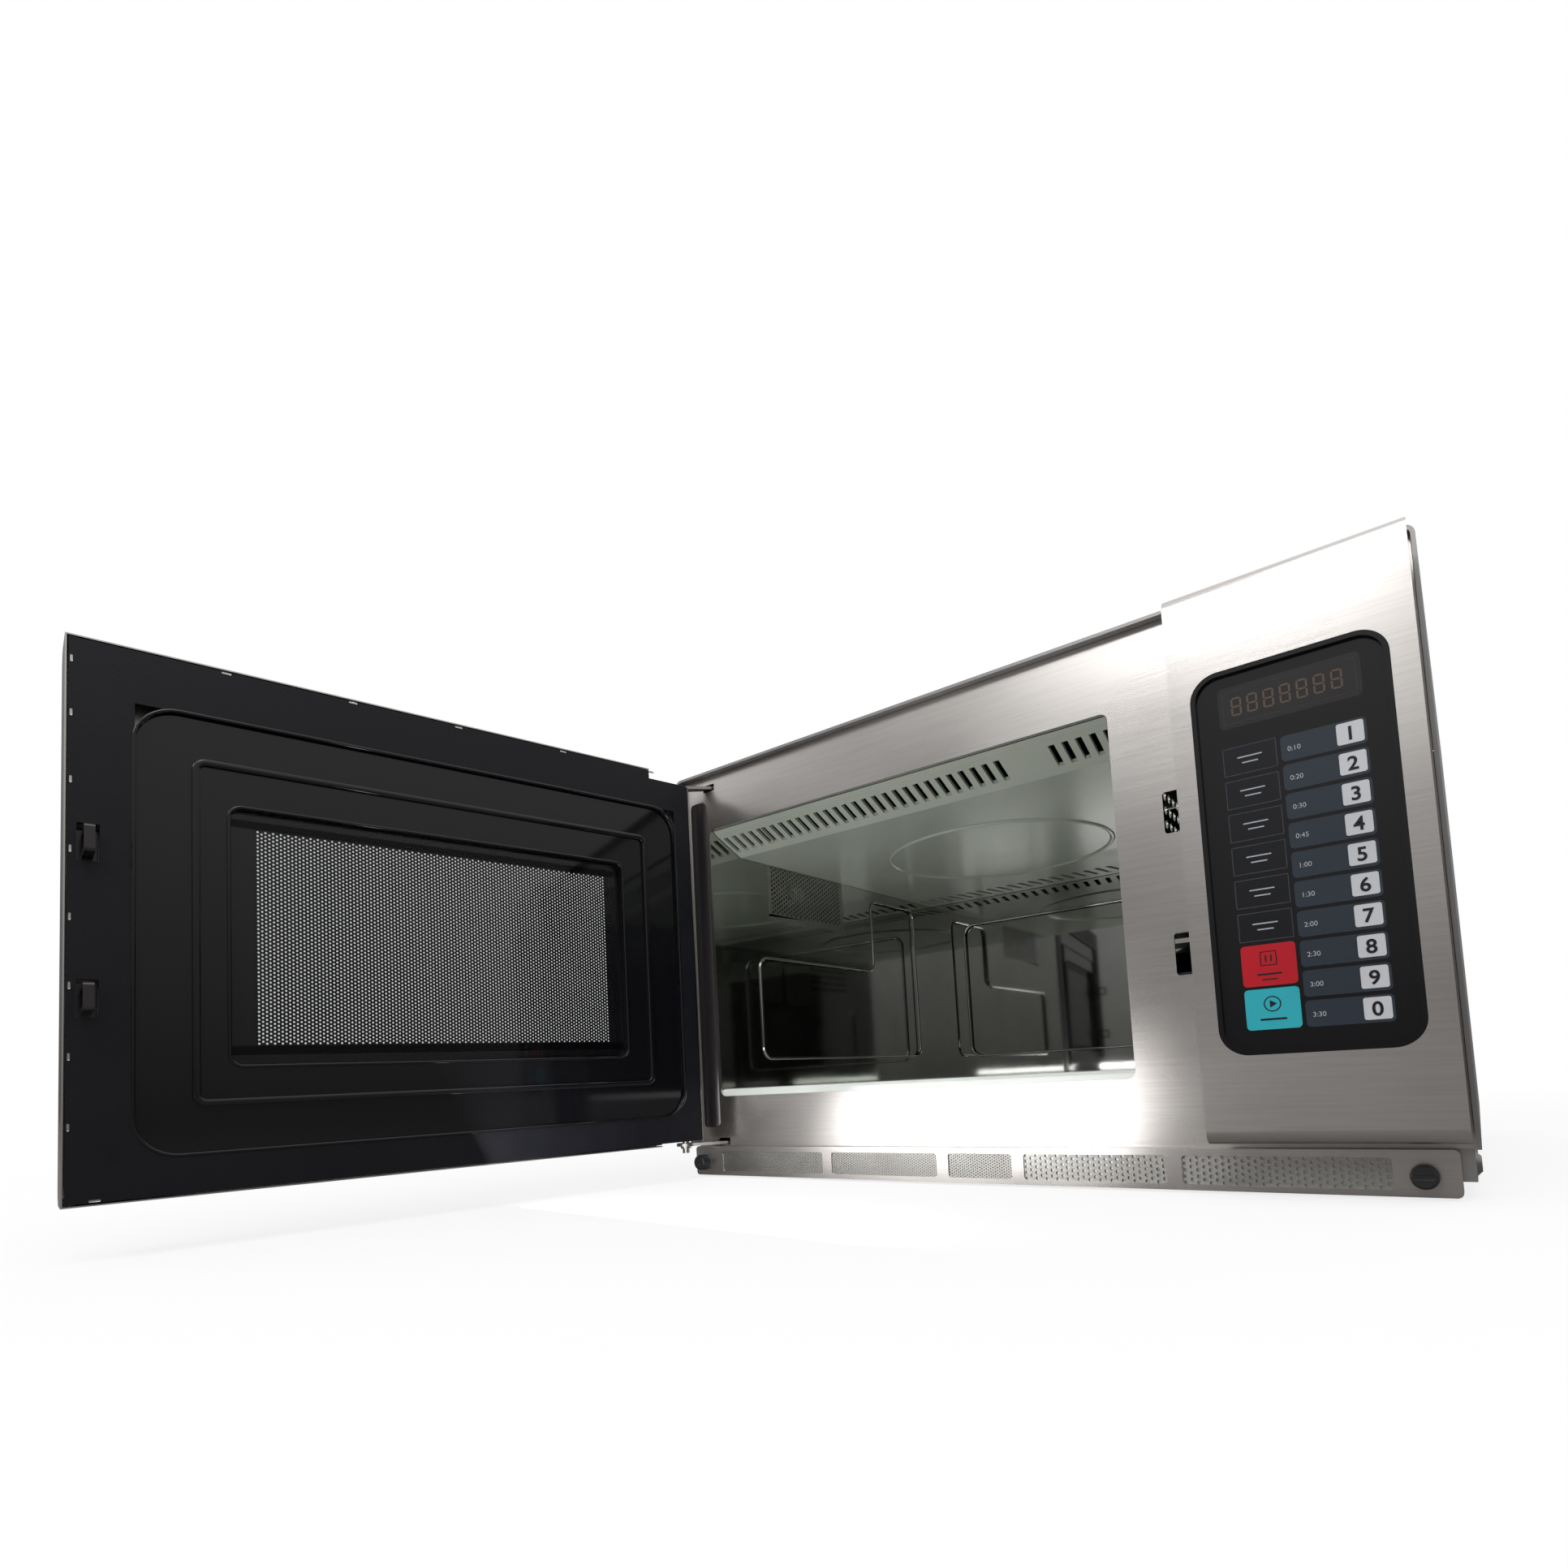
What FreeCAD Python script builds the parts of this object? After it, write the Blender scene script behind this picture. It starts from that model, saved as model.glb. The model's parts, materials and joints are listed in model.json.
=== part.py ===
import FreeCAD, Part
import math
import os
import re
import Sketcher
from FreeCAD import Rotation, Vector

# A countertop microwave oven with a side-hung door, in millimetres.
# Case parts are drawn from the case's own corner of reference: x from the centre line, y from
# the face of the front plate towards the back, z from the bench. Door parts are drawn shut and
# from the hinge axis. Each sub-part's Placement then carries it to the model's origin, which is
# under the middle of the front left foot.

DIMENSIONS = {
    # case
    "case_width": 559, "case_top": 361, "case_back": 447, "wrap_bottom": 26.5, "wrap_lip": 6.6,
    "sheet": 0.8, "hem": 1.4, "wrap_radius": 6, "plate_side": 277, "plate_top": 358.8,
    "plate_thick": 1.2, "base_side": 276.5, "base_bottom": 9, "base_top": 42, "base_front": 3,
    "foot_x": 235, "foot_front": 34, "foot_rear": 412, "foot_radius": 14, "foot_bore": 4,
    # cavity
    "cavity_left": -246, "cavity_right": 110, "cavity_low": 69.7, "cavity_high": 309.5,
    "cavity_depth": 410.5, "emboss_depth": 2, "shelf_top": 76.1, "shelf_gap": 1.2,
    "vent_front": 80, "vent_back": 208, "vent_low": 238, "vent_high": 301,
    "shield_front": 291, "shield_back": 291, "shield_thick": 2.2,
    "stir_x": -64, "stir_y": 214, "stir_radius": 68, "port_radius": 24,
    # door, from the hinge axis
    "hinge_x": -268.9, "hinge_y": -23.8, "door_open": 100.16, "door_edge": 423.2,
    "door_hinge_edge": -4.5, "door_out": -11.8, "door_rim": 20, "door_low": 31, "door_high": 353.4,
    "bullnose": 10, "arm_low": 28.2, "arm_high": 346.5, "arm_thick": 2.5, "pin_radius": 3,
    "pin_clearance": 0.05, "recess_near": 12.1, "recess_far": 391.3, "recess_low": 55.6,
    "recess_high": 320, "rib_near": 40.8, "rib_far": 363.2, "rib_low": 82.7, "rib_high": 294.1,
    "pane_near": 65.4, "pane_far": 343.1, "pane_low": 107, "pane_high": 266.7,
    # latches
    "strike_near": 409.9, "strike_width": 5, "strike_reach": 32.2, "strike_upper": 234,
    "strike_lower": 145.5, "strike_half": 8, "slot_left": 139.8, "slot_right": 147.2,
    "slot_half": 13.2, "pawl_x": 150, "pawl_y": 34, "pawl_half": 4, "pawl_open": 12,
    # control panel
    "panel_left": 156.8, "panel_right": 276.2, "panel_out": -35.6, "panel_low": 31.2, "panel_high": 353.5,
    "panel_return": 8, "pad_left": 168, "pad_right": 264.2, "pad_low": 80.5, "pad_high": 299.6,
    "pad_radius": 15, "pad_bevel": 2.6,
    # air filter
    "filter_left": -272.5, "filter_right": 270.4, "filter_face": -7.4, "filter_low": 1.6,
    "filter_high": 26.5, "filter_return": 7, "window_low": 5.2, "window_high": 22.3,
    "screw_z": 12.8, "screw_radius": 6.5, "screw_left": -262.4, "screw_right": 254.9,
    # fan
    "magnetron_x": 205, "magnetron_low": 228.5,
    "fan_x": 205, "fan_y": 412, "fan_z": 180, "fan_radius": 56,
}
WORD = re.compile(r"[a-z]+(?:_[a-z]+)*")

os.makedirs("parts", exist_ok=True)
doc = FreeCAD.newDocument("microwave_oven")
sheet = doc.addObject("Spreadsheet::Sheet", "Dims")
for row, (alias, size) in enumerate(DIMENSIONS.items(), start=1):
    sheet.set(f"A{row}", alias)
    sheet.set(f"B{row}", str(size))
    sheet.setAlias(f"B{row}", alias)
doc.recompute()
PARTS = []


# ---------------------------------------------------------------- helpers

def size(alias):
    """A driving dimension's value, read from the sheet."""
    return float(sheet.get(alias))


def bound(expression):
    """The expression with every driving dimension read from the sheet."""
    def named(word):
        return "Dims." + word.group() if word.group() in DIMENSIONS else word.group()
    return WORD.sub(named, str(expression))


def bind(item, prop, expression):
    item.setExpression(prop, bound(expression))


def put(item, x, y, z, prop="Placement"):
    for axis, expression in zip("xyz", (x, y, z)):
        bind(item, f"{prop}.Base.{axis}", expression)


def block(x, y, z, length, width, height):
    """A block with its low corner at x, y, z."""
    item = doc.addObject("Part::Box", "Block")
    bind(item, "Length", length)
    bind(item, "Width", width)
    bind(item, "Height", height)
    put(item, x, y, z)
    return item


AXES = {"x": Rotation(Vector(0, 1, 0), 90), "y": Rotation(Vector(1, 0, 0), -90), "z": Rotation()}


def rod(x, y, z, radius, length, axis="z"):
    """A round bar that starts at x, y, z and runs along an axis."""
    item = doc.addObject("Part::Cylinder", "Rod")
    bind(item, "Radius", radius)
    bind(item, "Height", length)
    item.Placement.Rotation = AXES[axis]
    put(item, x, y, z)
    return item


def taper(x, y, z, radius_start, radius_end, length, axis="z"):
    item = doc.addObject("Part::Cone", "Taper")
    bind(item, "Radius1", radius_start)
    bind(item, "Radius2", radius_end)
    bind(item, "Height", length)
    item.Placement.Rotation = AXES[axis]
    put(item, x, y, z)
    return item


def ring(x, y, z, radius, wire, axis="z"):
    item = doc.addObject("Part::Torus", "Ring")
    bind(item, "Radius1", radius)
    bind(item, "Radius2", wire)
    item.Placement.Rotation = AXES[axis]
    put(item, x, y, z)
    return item


def fuse(*items):
    if len(items) == 1:
        return items[0]
    item = doc.addObject("Part::MultiFuse", "Joined")
    item.Shapes = list(items)
    return item


def cut(base, *tools):
    item = doc.addObject("Part::Cut", "Cut")
    item.Base = base
    item.Tool = fuse(*tools)
    return item


def common(first, second):
    item = doc.addObject("Part::Common", "Common")
    item.Base = first
    item.Tool = second
    return item


def edge_numbers(shape, wanted):
    """The numbers of the straight edges whose direction and middle pass a test."""
    found = []
    for number, edge in enumerate(shape.Edges, start=1):
        if edge.Curve.TypeId != "Part::GeomLine":
            continue
        step = edge.Vertexes[-1].Point.sub(edge.Vertexes[0].Point)
        if wanted(step.normalize(), edge.CenterOfMass):
            found.append(number)
    return found


def along(axis):
    """A test for every straight edge that runs along an axis."""
    return lambda step, middle: abs(getattr(step, axis)) > 0.999


def rounded(item, radius, wanted):
    """The item with its chosen edges rounded."""
    doc.recompute()
    smooth = doc.addObject("Part::Fillet", "Rounded")
    smooth.Base = item
    smooth.Edges = [(n, size(radius) if isinstance(radius, str) else radius,
                     size(radius) if isinstance(radius, str) else radius)
                    for n in edge_numbers(item.Shape, wanted)]
    return smooth


def keep(label, *items, door=False):
    """One sub-part of the case, or of the door, made of the items given."""
    group = doc.addObject("Part::Compound", "Part_" + label)
    group.Links = list(items)
    group.Label = label
    carry(group, door)
    return group


def carry(item, door=False):
    """Places a sub-part from the case's frame, or the shut door's, to the model's origin."""
    if door:
        bind(item, "Placement.Rotation.Angle", "-door_open")
        item.Placement.Rotation.Axis = Vector(0, 0, 1)
        put(item, "foot_x + hinge_x", "hinge_y - foot_front", "0")
    else:
        put(item, "foot_x", "-foot_front", "0")
    PARTS.append(item)


def new_body(label, door=False):
    body = doc.addObject("PartDesign::Body", "Body_" + label)
    body.Label = label
    carry(body, door)
    return body


def sketch_on(body, plane, level="0"):
    """A sketch on one of the body's own planes, moved along the plane's normal by level."""
    drawing = body.newObject("Sketcher::SketchObject", "Sketch")
    origin = [item for item in body.Origin.OriginFeatures if item.Role == plane][0]
    drawing.AttachmentSupport = [(origin, "")]
    drawing.MapMode = "FlatFace"
    bind(drawing, "AttachmentOffset.Base.z", level)
    return drawing


def outline(drawing, points):
    """A closed outline whose corners are bound to the sheet."""
    first = drawing.GeometryCount
    count = len(points)
    rough = [Vector(10 * math.cos(2 * math.pi * i / count), 10 * math.sin(2 * math.pi * i / count), 0)
             for i in range(count)]
    for i in range(count):
        drawing.addGeometry(Part.LineSegment(rough[i], rough[(i + 1) % count]), False)
    for i in range(count):
        drawing.addConstraint(
            Sketcher.Constraint("Coincident", first + i, 2, first + (i + 1) % count, 1))
    for i, (x, y) in enumerate(points):
        for kind, expression, value in (("DistanceX", x, rough[i].x), ("DistanceY", y, rough[i].y)):
            number = drawing.addConstraint(
                Sketcher.Constraint(kind, -1, 1, first + i, 1, value))
            bind(drawing, f"Constraints[{number}]", expression)


def rectangle(drawing, left, low, right, high):
    outline(drawing, [(left, low), (right, low), (right, high), (left, high)])


def circle(drawing, x, y, radius):
    number = drawing.addGeometry(Part.Circle(Vector(1, 1, 0), Vector(0, 0, 1), 5), False)
    for kind, expression in (("DistanceX", x), ("DistanceY", y)):
        constraint = drawing.addConstraint(Sketcher.Constraint(kind, -1, 1, number, 3, 1))
        bind(drawing, f"Constraints[{constraint}]", expression)
    constraint = drawing.addConstraint(Sketcher.Constraint("Radius", number, 5))
    bind(drawing, f"Constraints[{constraint}]", radius)


def extrude(body, kind, drawing, length, back=False):
    """A pad or a pocket of the drawing, along its normal or against it."""
    feature = body.newObject("PartDesign::" + kind, kind)
    feature.Profile = drawing
    bind(feature, "Length", length)
    feature.Reversed = back
    drawing.Visibility = False
    return feature


def soften(body, radius, wanted, kind="Fillet"):
    """Rounds or chamfers the body's chosen edges."""
    doc.recompute()
    before = body.Tip
    numbers = edge_numbers(before.Shape, wanted)
    feature = body.newObject("PartDesign::" + kind, kind)
    feature.Base = (before, [f"Edge{n}" for n in numbers])
    bind(feature, "Radius" if kind == "Fillet" else "Size", radius)
    doc.recompute()
    return feature


# ---------------------------------------------------------------- case

def outer_wrap():
    """The folded sheet that makes the top and both sides, hemmed along its front edge."""
    def arch(inset, front, back, radius):
        """A block whose two top edges are rounded, as far in from the outside as inset."""
        whole = block(f"-case_width / 2 + {inset}", front, f"wrap_bottom - ({inset})",
                      f"case_width - 2 * ({inset})", f"{back} - ({front})", "case_top - wrap_bottom")
        top = size("case_top")
        return rounded(whole, radius,
                       lambda step, middle: abs(step.y) > 0.999 and middle.z > top - 10)

    radius = size("wrap_radius")
    sheet_in = size("sheet")
    hem_in = sheet_in + size("hem")
    keep("outer_wrap", cut(
        arch("0", "-wrap_lip", "case_back", radius),
        arch("sheet", "-0.4", "case_back + 1", radius - sheet_in),
        arch("sheet + hem", "-wrap_lip - 1", "case_back + 1", radius - hem_in)))


def base_pan():
    """The pressed tray that carries the works, with air slots in its front wall."""
    outer = block("-base_side", "base_front", "base_bottom", "2 * base_side",
                  "case_back - 2 - base_front", "base_top - base_bottom")
    hollow = block("-base_side + sheet", "base_front + sheet", "base_bottom + sheet",
                   "2 * base_side - 2 * sheet", "case_back - 2 - base_front - 2 * sheet", "base_top")
    front_low = block("-base_side - 1", "0", "wrap_bottom", "2 * base_side + 2", "base_front + 6",
                      "base_top")
    intakes = [block(f"{x}", "0", "12", "84", "10", "11") for x in (-238, -130, 36, 140)]
    threads = [rod(x, "0", "screw_z", "2.5", "10", "y") for x in ("screw_left", "screw_right")]
    foot_holes = [rod(x, y, "base_bottom - 1", "2.4", "4") for x in ("-foot_x", "foot_x")
                  for y in ("foot_front", "foot_rear")]
    keep("base_pan", cut(outer, hollow, front_low, *intakes, *threads, *foot_holes))


def feet():
    """Four rubber feet, each with the recess that its screw sits in."""
    made = []
    for x in ("-foot_x", "foot_x"):
        for y in ("foot_front", "foot_rear"):
            solid = taper(x, y, "0", "foot_radius - 2", "foot_radius", "base_bottom")
            made.append(cut(solid, rod(x, y, "4", "foot_bore", "base_bottom")))
    keep("feet", *made)


def rear_panel():
    """The back sheet, slotted in front of the fan and beside the cavity for the outgoing air."""
    back = block("-plate_side", "case_back - 2", "base_bottom + 2", "2 * plate_side", "sheet",
                 "plate_top - base_bottom - 2")
    slots = []
    for row in range(9):
        for column in range(2):
            slots.append(block(f"{152 + column * 56}", "case_back - 5", f"{132 + row * 11}", "50",
                               "8", "5"))
    for row in range(6):
        for column in range(3):
            slots.append(block(f"{-232 + column * 62}", "case_back - 5", f"{278 + row * 11}", "54",
                               "8", "5"))
    cord_hole = rod("225", "case_back - 5", "52", "9", "8", "y")
    keep("rear_panel", cut(back, cord_hole, *slots))


def front_plate():
    """The brushed sheet round the cavity's mouth, with the latch and hinge slots."""
    body = new_body("front_plate")
    blank = sketch_on(body, "XZ_Plane")
    rectangle(blank, "-plate_side", "wrap_bottom", "plate_side", "plate_top")
    extrude(body, "Pad", blank, "plate_thick", back=True)
    doc.recompute()
    mouth = sketch_on(body, "XZ_Plane")
    rectangle(mouth, "cavity_left", "cavity_low", "cavity_right", "cavity_high")
    extrude(body, "Pocket", mouth, "plate_thick")
    left, right = size("cavity_left"), size("cavity_right")
    soften(body, "5", lambda step, middle: abs(step.y) > 0.999 and left - 1 < middle.x < right + 1)
    behind_panel = sketch_on(body, "XZ_Plane")
    rectangle(behind_panel, "pad_left + 10", "strike_lower - slot_half", "pad_right - 10",
              "strike_upper + 1 + slot_half")
    for low in ("arm_low - 0.8", "arm_high - 1.5"):
        rectangle(behind_panel, "-251", low, "-238", f"{low} + 6")
    extrude(body, "Pocket", behind_panel, "plate_thick")
    # The latch slots run on behind the control panel, into the plate's large opening there.
    slots = sketch_on(body, "XZ_Plane")
    for centre in ("(strike_upper + 1)", "strike_lower"):
        rectangle(slots, "slot_left", f"{centre} - slot_half", "pad_left + 12", f"{centre} + slot_half")
    extrude(body, "Pocket", slots, "plate_thick")
    slot_edges = size("slot_left") - 1
    soften(body, "2", lambda step, middle: abs(step.y) > 0.999
           and slot_edges < middle.x < size("slot_right") + 1)


def hinge_bead():
    """The rounded strip beside the cavity's mouth that stiffens the plate at the hinge side."""
    bar = rod("-258", "18.7", "43", "21.2", "293")
    window = rounded(block("-267.5", "-2.6", "43", "19", "2.6", "293"), 4, along("y"))
    keep("hinge_bead", common(bar, window))


def cavity_box():
    """The polished steel box, its walls pressed out in plain panels to stop them drumming."""
    wide = "cavity_right - cavity_left"
    tall = "cavity_high - cavity_low"
    outer = block("cavity_left - sheet", "plate_thick", "cavity_low - sheet", f"{wide} + 2 * sheet",
                  "cavity_depth - plate_thick + sheet", f"{tall} + 2 * sheet")
    inner = block("cavity_left", "0", "cavity_low", wide, "cavity_depth", tall)

    def side_press(x, thick, grow):
        """The L-shaped press on a side wall; grow widens it for the outside of the sheet."""
        low = block(x, f"62 - {grow}", f"102.3 - {grow}", thick, f"297 + 2 * {grow}",
                    f"96.5 + 2 * {grow}")
        high = block(x, f"264 - {grow}", f"150 - {grow}", thick, f"95 + 2 * {grow}",
                     f"129.5 + 2 * {grow}")
        return rounded(fuse(low, high), 8 + grow, along("x"))

    def back_press(y, grow):
        field = block(f"-203.4 - {grow}", y, f"99.4 - {grow}", f"270.8 + 2 * {grow}", "emboss_depth",
                      f"160.8 + 2 * {grow}")
        return rounded(field, 9 + grow, along("y"))

    outside = fuse(
        outer,
        side_press("cavity_left - sheet - emboss_depth", "emboss_depth + 0.5", 1),
        side_press("cavity_right + sheet - 0.5", "emboss_depth + 0.5", 1),
        back_press("cavity_depth + sheet", 1))
    hollows = [
        inner,
        side_press("cavity_left - emboss_depth", "emboss_depth + 0.5", 0),
        side_press("cavity_right - 0.5", "emboss_depth + 0.5", 0),
        back_press("cavity_depth", 0),
        block("cavity_left - 3", "vent_front", "vent_low", "6", "vent_back - vent_front",
              "vent_high - vent_low"),
        rod("stir_x", "stir_y", "cavity_high - 3", "port_radius", "8"),
    ]
    for row in range(5):
        for column in range(9):
            hollows.append(rod("cavity_right - 5", f"{90 + column * 12}", f"{238 + row * 11}", "3.5",
                               "12", "x"))
    keep("cavity_box", cut(outside, *hollows))


def lamp_vent():
    """The punched sheet that light and air come through, set in the cavity's left wall."""
    keep("lamp_vent", block("cavity_left - 0.9", "vent_front + 0.1", "vent_low + 0.1", "0.7",
                            "vent_back - vent_front - 0.2", "vent_high - vent_low - 0.2"))


def ceramic_shelf():
    """The sealed ceramic floor, with its front edge eased."""
    body = new_body("ceramic_shelf")
    blank = sketch_on(body, "XY_Plane", "cavity_low")
    rectangle(blank, "cavity_left + shelf_gap", "2", "cavity_right - shelf_gap",
              "cavity_depth - shelf_gap")
    extrude(body, "Pad", blank, "shelf_top - cavity_low")
    top = size("shelf_top")
    soften(body, "2.5", lambda step, middle: middle.z > top - 0.1 and middle.y < 3)


def shelf_seal():
    """The bead of silicone that closes the gap round the ceramic floor."""
    outer = block("cavity_left", "2", "cavity_low", "cavity_right - cavity_left",
                  "cavity_depth - 2", "shelf_top - cavity_low - 1")
    inner = block("cavity_left + shelf_gap", "0", "cavity_low - 1",
                  "cavity_right - cavity_left - 2 * shelf_gap", "cavity_depth - shelf_gap", "20")
    keep("shelf_seal", cut(outer, inner))


def splatter_shield():
    """The plastic ceiling that guards the stirrer: sloped front with air slots, dished middle."""
    body = new_body("splatter_shield")
    side = sketch_on(body, "YZ_Plane", "cavity_left + 0.5")
    rear = "cavity_depth - 2"
    outline(side, [
        ("5", "cavity_high - 0.3"), ("8", "cavity_high - 3"), ("41", "shield_front"),
        (rear, "shield_back"), (rear, "shield_back + shield_thick"),
        ("42", "shield_front + shield_thick"), ("10", "cavity_high - 0.3")])
    extrude(body, "Pad", side, "cavity_right - cavity_left - 1")
    doc.recompute()
    front = sketch_on(body, "XY_Plane", "shield_back - 10")
    groups = ((-242, 5), (-198, 24), (64, 5))
    for start, count in groups:
        for index in range(count):
            left = start + index * 9.6
            rectangle(front, f"{left}", "14", f"{left + 4.6}", "34")
    extrude(body, "Pocket", front, "60", back=True)
    doc.recompute()
    rear_slots = sketch_on(body, "XY_Plane", "shield_back - 10")
    for index in range(27):
        left = -240 + index * 12.6
        outline(rear_slots, [(f"{left}", "366"), (f"{left + 5}", "366"), (f"{left + 11}", "398"),
                             (f"{left + 6}", "398")])
    extrude(body, "Pocket", rear_slots, "60", back=True)


# ---------------------------------------------------------------- microwave works

def stirrer():
    """The turning antenna above the shield: a slotted disc on a shaft."""
    body = new_body("stirrer")
    disc = sketch_on(body, "XY_Plane", "cavity_high - 9")
    circle(disc, "stir_x", "stir_y", "stir_radius")
    extrude(body, "Pad", disc, "1.5")
    doc.recompute()
    slots = sketch_on(body, "XY_Plane", "cavity_high - 9")
    for x in ("stir_x - 45", "stir_x + 15"):
        rectangle(slots, x, "stir_y - 30", f"{x} + 30", "stir_y - 20")
        rectangle(slots, x, "stir_y + 20", f"{x} + 30", "stir_y + 30")
    extrude(body, "Pocket", slots, "5", back=True)
    doc.recompute()
    shaft = sketch_on(body, "XY_Plane", "cavity_high - 9")
    circle(shaft, "stir_x", "stir_y", "4")
    extrude(body, "Pad", shaft, "46")


def stirrer_motor():
    can = rod("stir_x", "stir_y", "cavity_high + 32.5", "23", "13")
    keep("stirrer_motor", cut(can, rod("stir_x", "stir_y", "cavity_high + 25", "4.05", "12.8")))


def waveguide():
    """The duct that carries the microwaves from the magnetron over the cavity's ceiling."""
    outer = block("stir_x - 45", "stir_y - 42", "cavity_high + sheet", "336", "84", "31")
    inner = block("stir_x - 44", "stir_y - 41", "cavity_high + 2 * sheet", "334", "82", "29")
    feed = rod("magnetron_x", "stir_y", "cavity_high - 5", "13", "9")
    port = rod("stir_x", "stir_y", "cavity_high - 5", "port_radius", "9")
    shaft_hole = rod("stir_x", "stir_y", "cavity_high + 20", "5", "14")
    keep("waveguide", cut(outer, inner, feed, port, shaft_hole))


def magnetron():
    """The magnetron: its yoke with two ring magnets, its cooling fins and its tube."""
    def up(height):
        return f"magnetron_low + {height}"

    yoke = cut(block("magnetron_x - 45", "stir_y - 40", "magnetron_low", "90", "80", "81.5"),
               block("magnetron_x - 43", "stir_y - 41", up(2), "86", "82", "77.5"),
               rod("magnetron_x", "stir_y", up(76), "12.5", "10"))
    fins = [cut(block("magnetron_x - 41", "stir_y - 34", up(22 + index * 6), "82", "68", "0.8"),
                rod("magnetron_x", "stir_y", up(16), "18", "50")) for index in range(7)]
    keep("magnetron_fins", *fins)
    magnets = [cut(rod("magnetron_x", "stir_y", z, "27", "12"), rod("magnetron_x", "stir_y", z, "12", "12"))
               for z in (up(4), up(66))]
    keep("magnetron_yoke", yoke, *magnets)
    tube = fuse(rod("magnetron_x", "stir_y", up(18), "18", "46"),
                rod("magnetron_x", "stir_y", up(3), "10", "80"),
                rod("magnetron_x", "stir_y", up(81), "7.5", "18"))
    keep("magnetron_tube", tube)


def transformer():
    """The laminated core and its two windings."""
    core = block("152", "62", "11", "100", "56", "84")
    windows = [block(x, "60", "29", "14", "60", "48") for x in ("170", "220")]
    keep("transformer_core", cut(core, *windows))
    coils = []
    for z in ("30", "55"):
        outer = rounded(block("171", "49", z, "62", "82", "21"), 8, along("z"))
        coils.append(cut(outer, block("183.5", "61.5", z, "37", "57", "21")))
    keep("transformer_windings", *coils)


def capacitor():
    can = rounded(block("150", "150", "11", "96", "34", "52"), 16.5, along("x"))
    posts = [rod("246", "167", z, "3", "12", "x") for z in ("27", "47")]
    keep("capacitor", fuse(can, *posts))


def diode():
    keep("rectifier_diode", fuse(rod("190", "215", "20", "3.5", "24", "x"),
                                 rod("178", "215", "20", "0.8", "48", "x"),
                                 block("224", "210", "10.2", "2", "10", "16")))


def line_filter():
    """The mains filter board with its choke and capacitors."""
    board = block("150", "270", "26", "100", "60", "1.6")
    posts = [rod(x, y, "10.1", "3", "15.9") for x in ("155", "245") for y in ("275", "325")]
    choke = cut(rod("180", "300", "27.6", "16", "14"), rod("180", "300", "27.6", "8", "14"))
    cells = [block(f"{205 + index * 16}", "285", "27.6", "12", "28", "18") for index in range(2)]
    keep("line_filter", fuse(board, *posts, *cells, choke))


def fan():
    """The cooling fan: shroud on the back, motor on its bridge, and a five-bladed wheel."""
    shroud = cut(block("fan_x - 66", "fan_y + 2", "fan_z - 66", "132", "20", "132"),
                 rod("fan_x", "fan_y", "fan_z", "fan_radius + 3", "30", "y"))
    bridge = block("fan_x - 66", "fan_y - 34", "fan_z - 10", "3", "37", "20")
    other_bridge = block("fan_x + 63", "fan_y - 34", "fan_z - 10", "3", "37", "20")
    bar = cut(block("fan_x - 66", "fan_y - 34", "fan_z - 10", "132", "3", "20"),
              rod("fan_x", "fan_y - 40", "fan_z", "6", "20", "y"))
    keep("fan_shroud", fuse(shroud, bridge, other_bridge, bar))
    can = fuse(rod("fan_x", "fan_y - 64", "fan_z", "24", "30", "y"),
               rod("fan_x", "fan_y - 34", "fan_z", "5.6", "10", "y"))
    keep("fan_motor", cut(can, rod("fan_x", "fan_y - 60", "fan_z", "3.05", "60", "y")))
    wheel = doc.addObject("Part::Feature", "Fan_wheel")
    hub = Part.makeCylinder(14, 16, Vector(0, 3, 0), Vector(0, 1, 0))
    shaft = Part.makeCylinder(3, 62, Vector(0, -59, 0), Vector(0, 1, 0))
    solids = [hub, shaft]
    tip = size("fan_radius") - 2
    for index in range(5):
        root = Part.makePolygon([Vector(-12, 5, 10), Vector(12, 16, 10), Vector(12, 17.5, 10),
                                 Vector(-12, 6.5, 10), Vector(-12, 5, 10)])
        end = Part.makePolygon([Vector(-15, 8, tip), Vector(15, 14, tip), Vector(15, 15.5, tip),
                                Vector(-15, 9.5, tip), Vector(-15, 8, tip)])
        blade = Part.makeLoft([root, end], True, True)
        blade.rotate(Vector(0, 0, 0), Vector(0, 1, 0), index * 72)
        solids.append(blade)
    wheel.Shape = solids[0].multiFuse(solids[1:]).removeSplitter()
    put(wheel, "fan_x", "fan_y", "fan_z")
    keep("fan_wheel", wheel)


def lamp():
    """The cavity lamp in the gap beside the left wall, and its holder."""
    bulb = fuse(rod("-264", "104", "272", "8.5", "26", "y"), rod("-264", "130", "272", "6", "14", "y"))
    keep("lamp_bulb", bulb)
    socket = rod("-264", "131", "272", "9.5", "20", "y")
    foot = block("-277", "136", "264", "5", "12", "16")
    keep("lamp_holder", cut(fuse(socket, foot), rod("-264", "124", "272", "6.1", "20.5", "y")))


def thermal_cutouts():
    on_yoke = fuse(rod("magnetron_x + 45", "215", "262", "8", "5", "x"),
                   block("magnetron_x + 45", "203", "256", "1", "24", "12"))
    ceiling = "cavity_high + sheet"
    on_ceiling = fuse(rod("20", "320", ceiling, "8", "8"), block("8", "314", ceiling, "24", "12", "1"))
    keep("thermal_cutouts", on_yoke, on_ceiling)


def cord_gland():
    """The bush that the mains cord leaves through."""
    flange = rod("225", "case_back - 1", "52", "12", "3", "y")
    neck = rod("225", "case_back - 14", "52", "8.9", "14", "y")
    bore = rod("225", "case_back - 20", "52", "4.2", "30", "y")
    keep("cord_gland", cut(fuse(flange, neck), bore))


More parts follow.
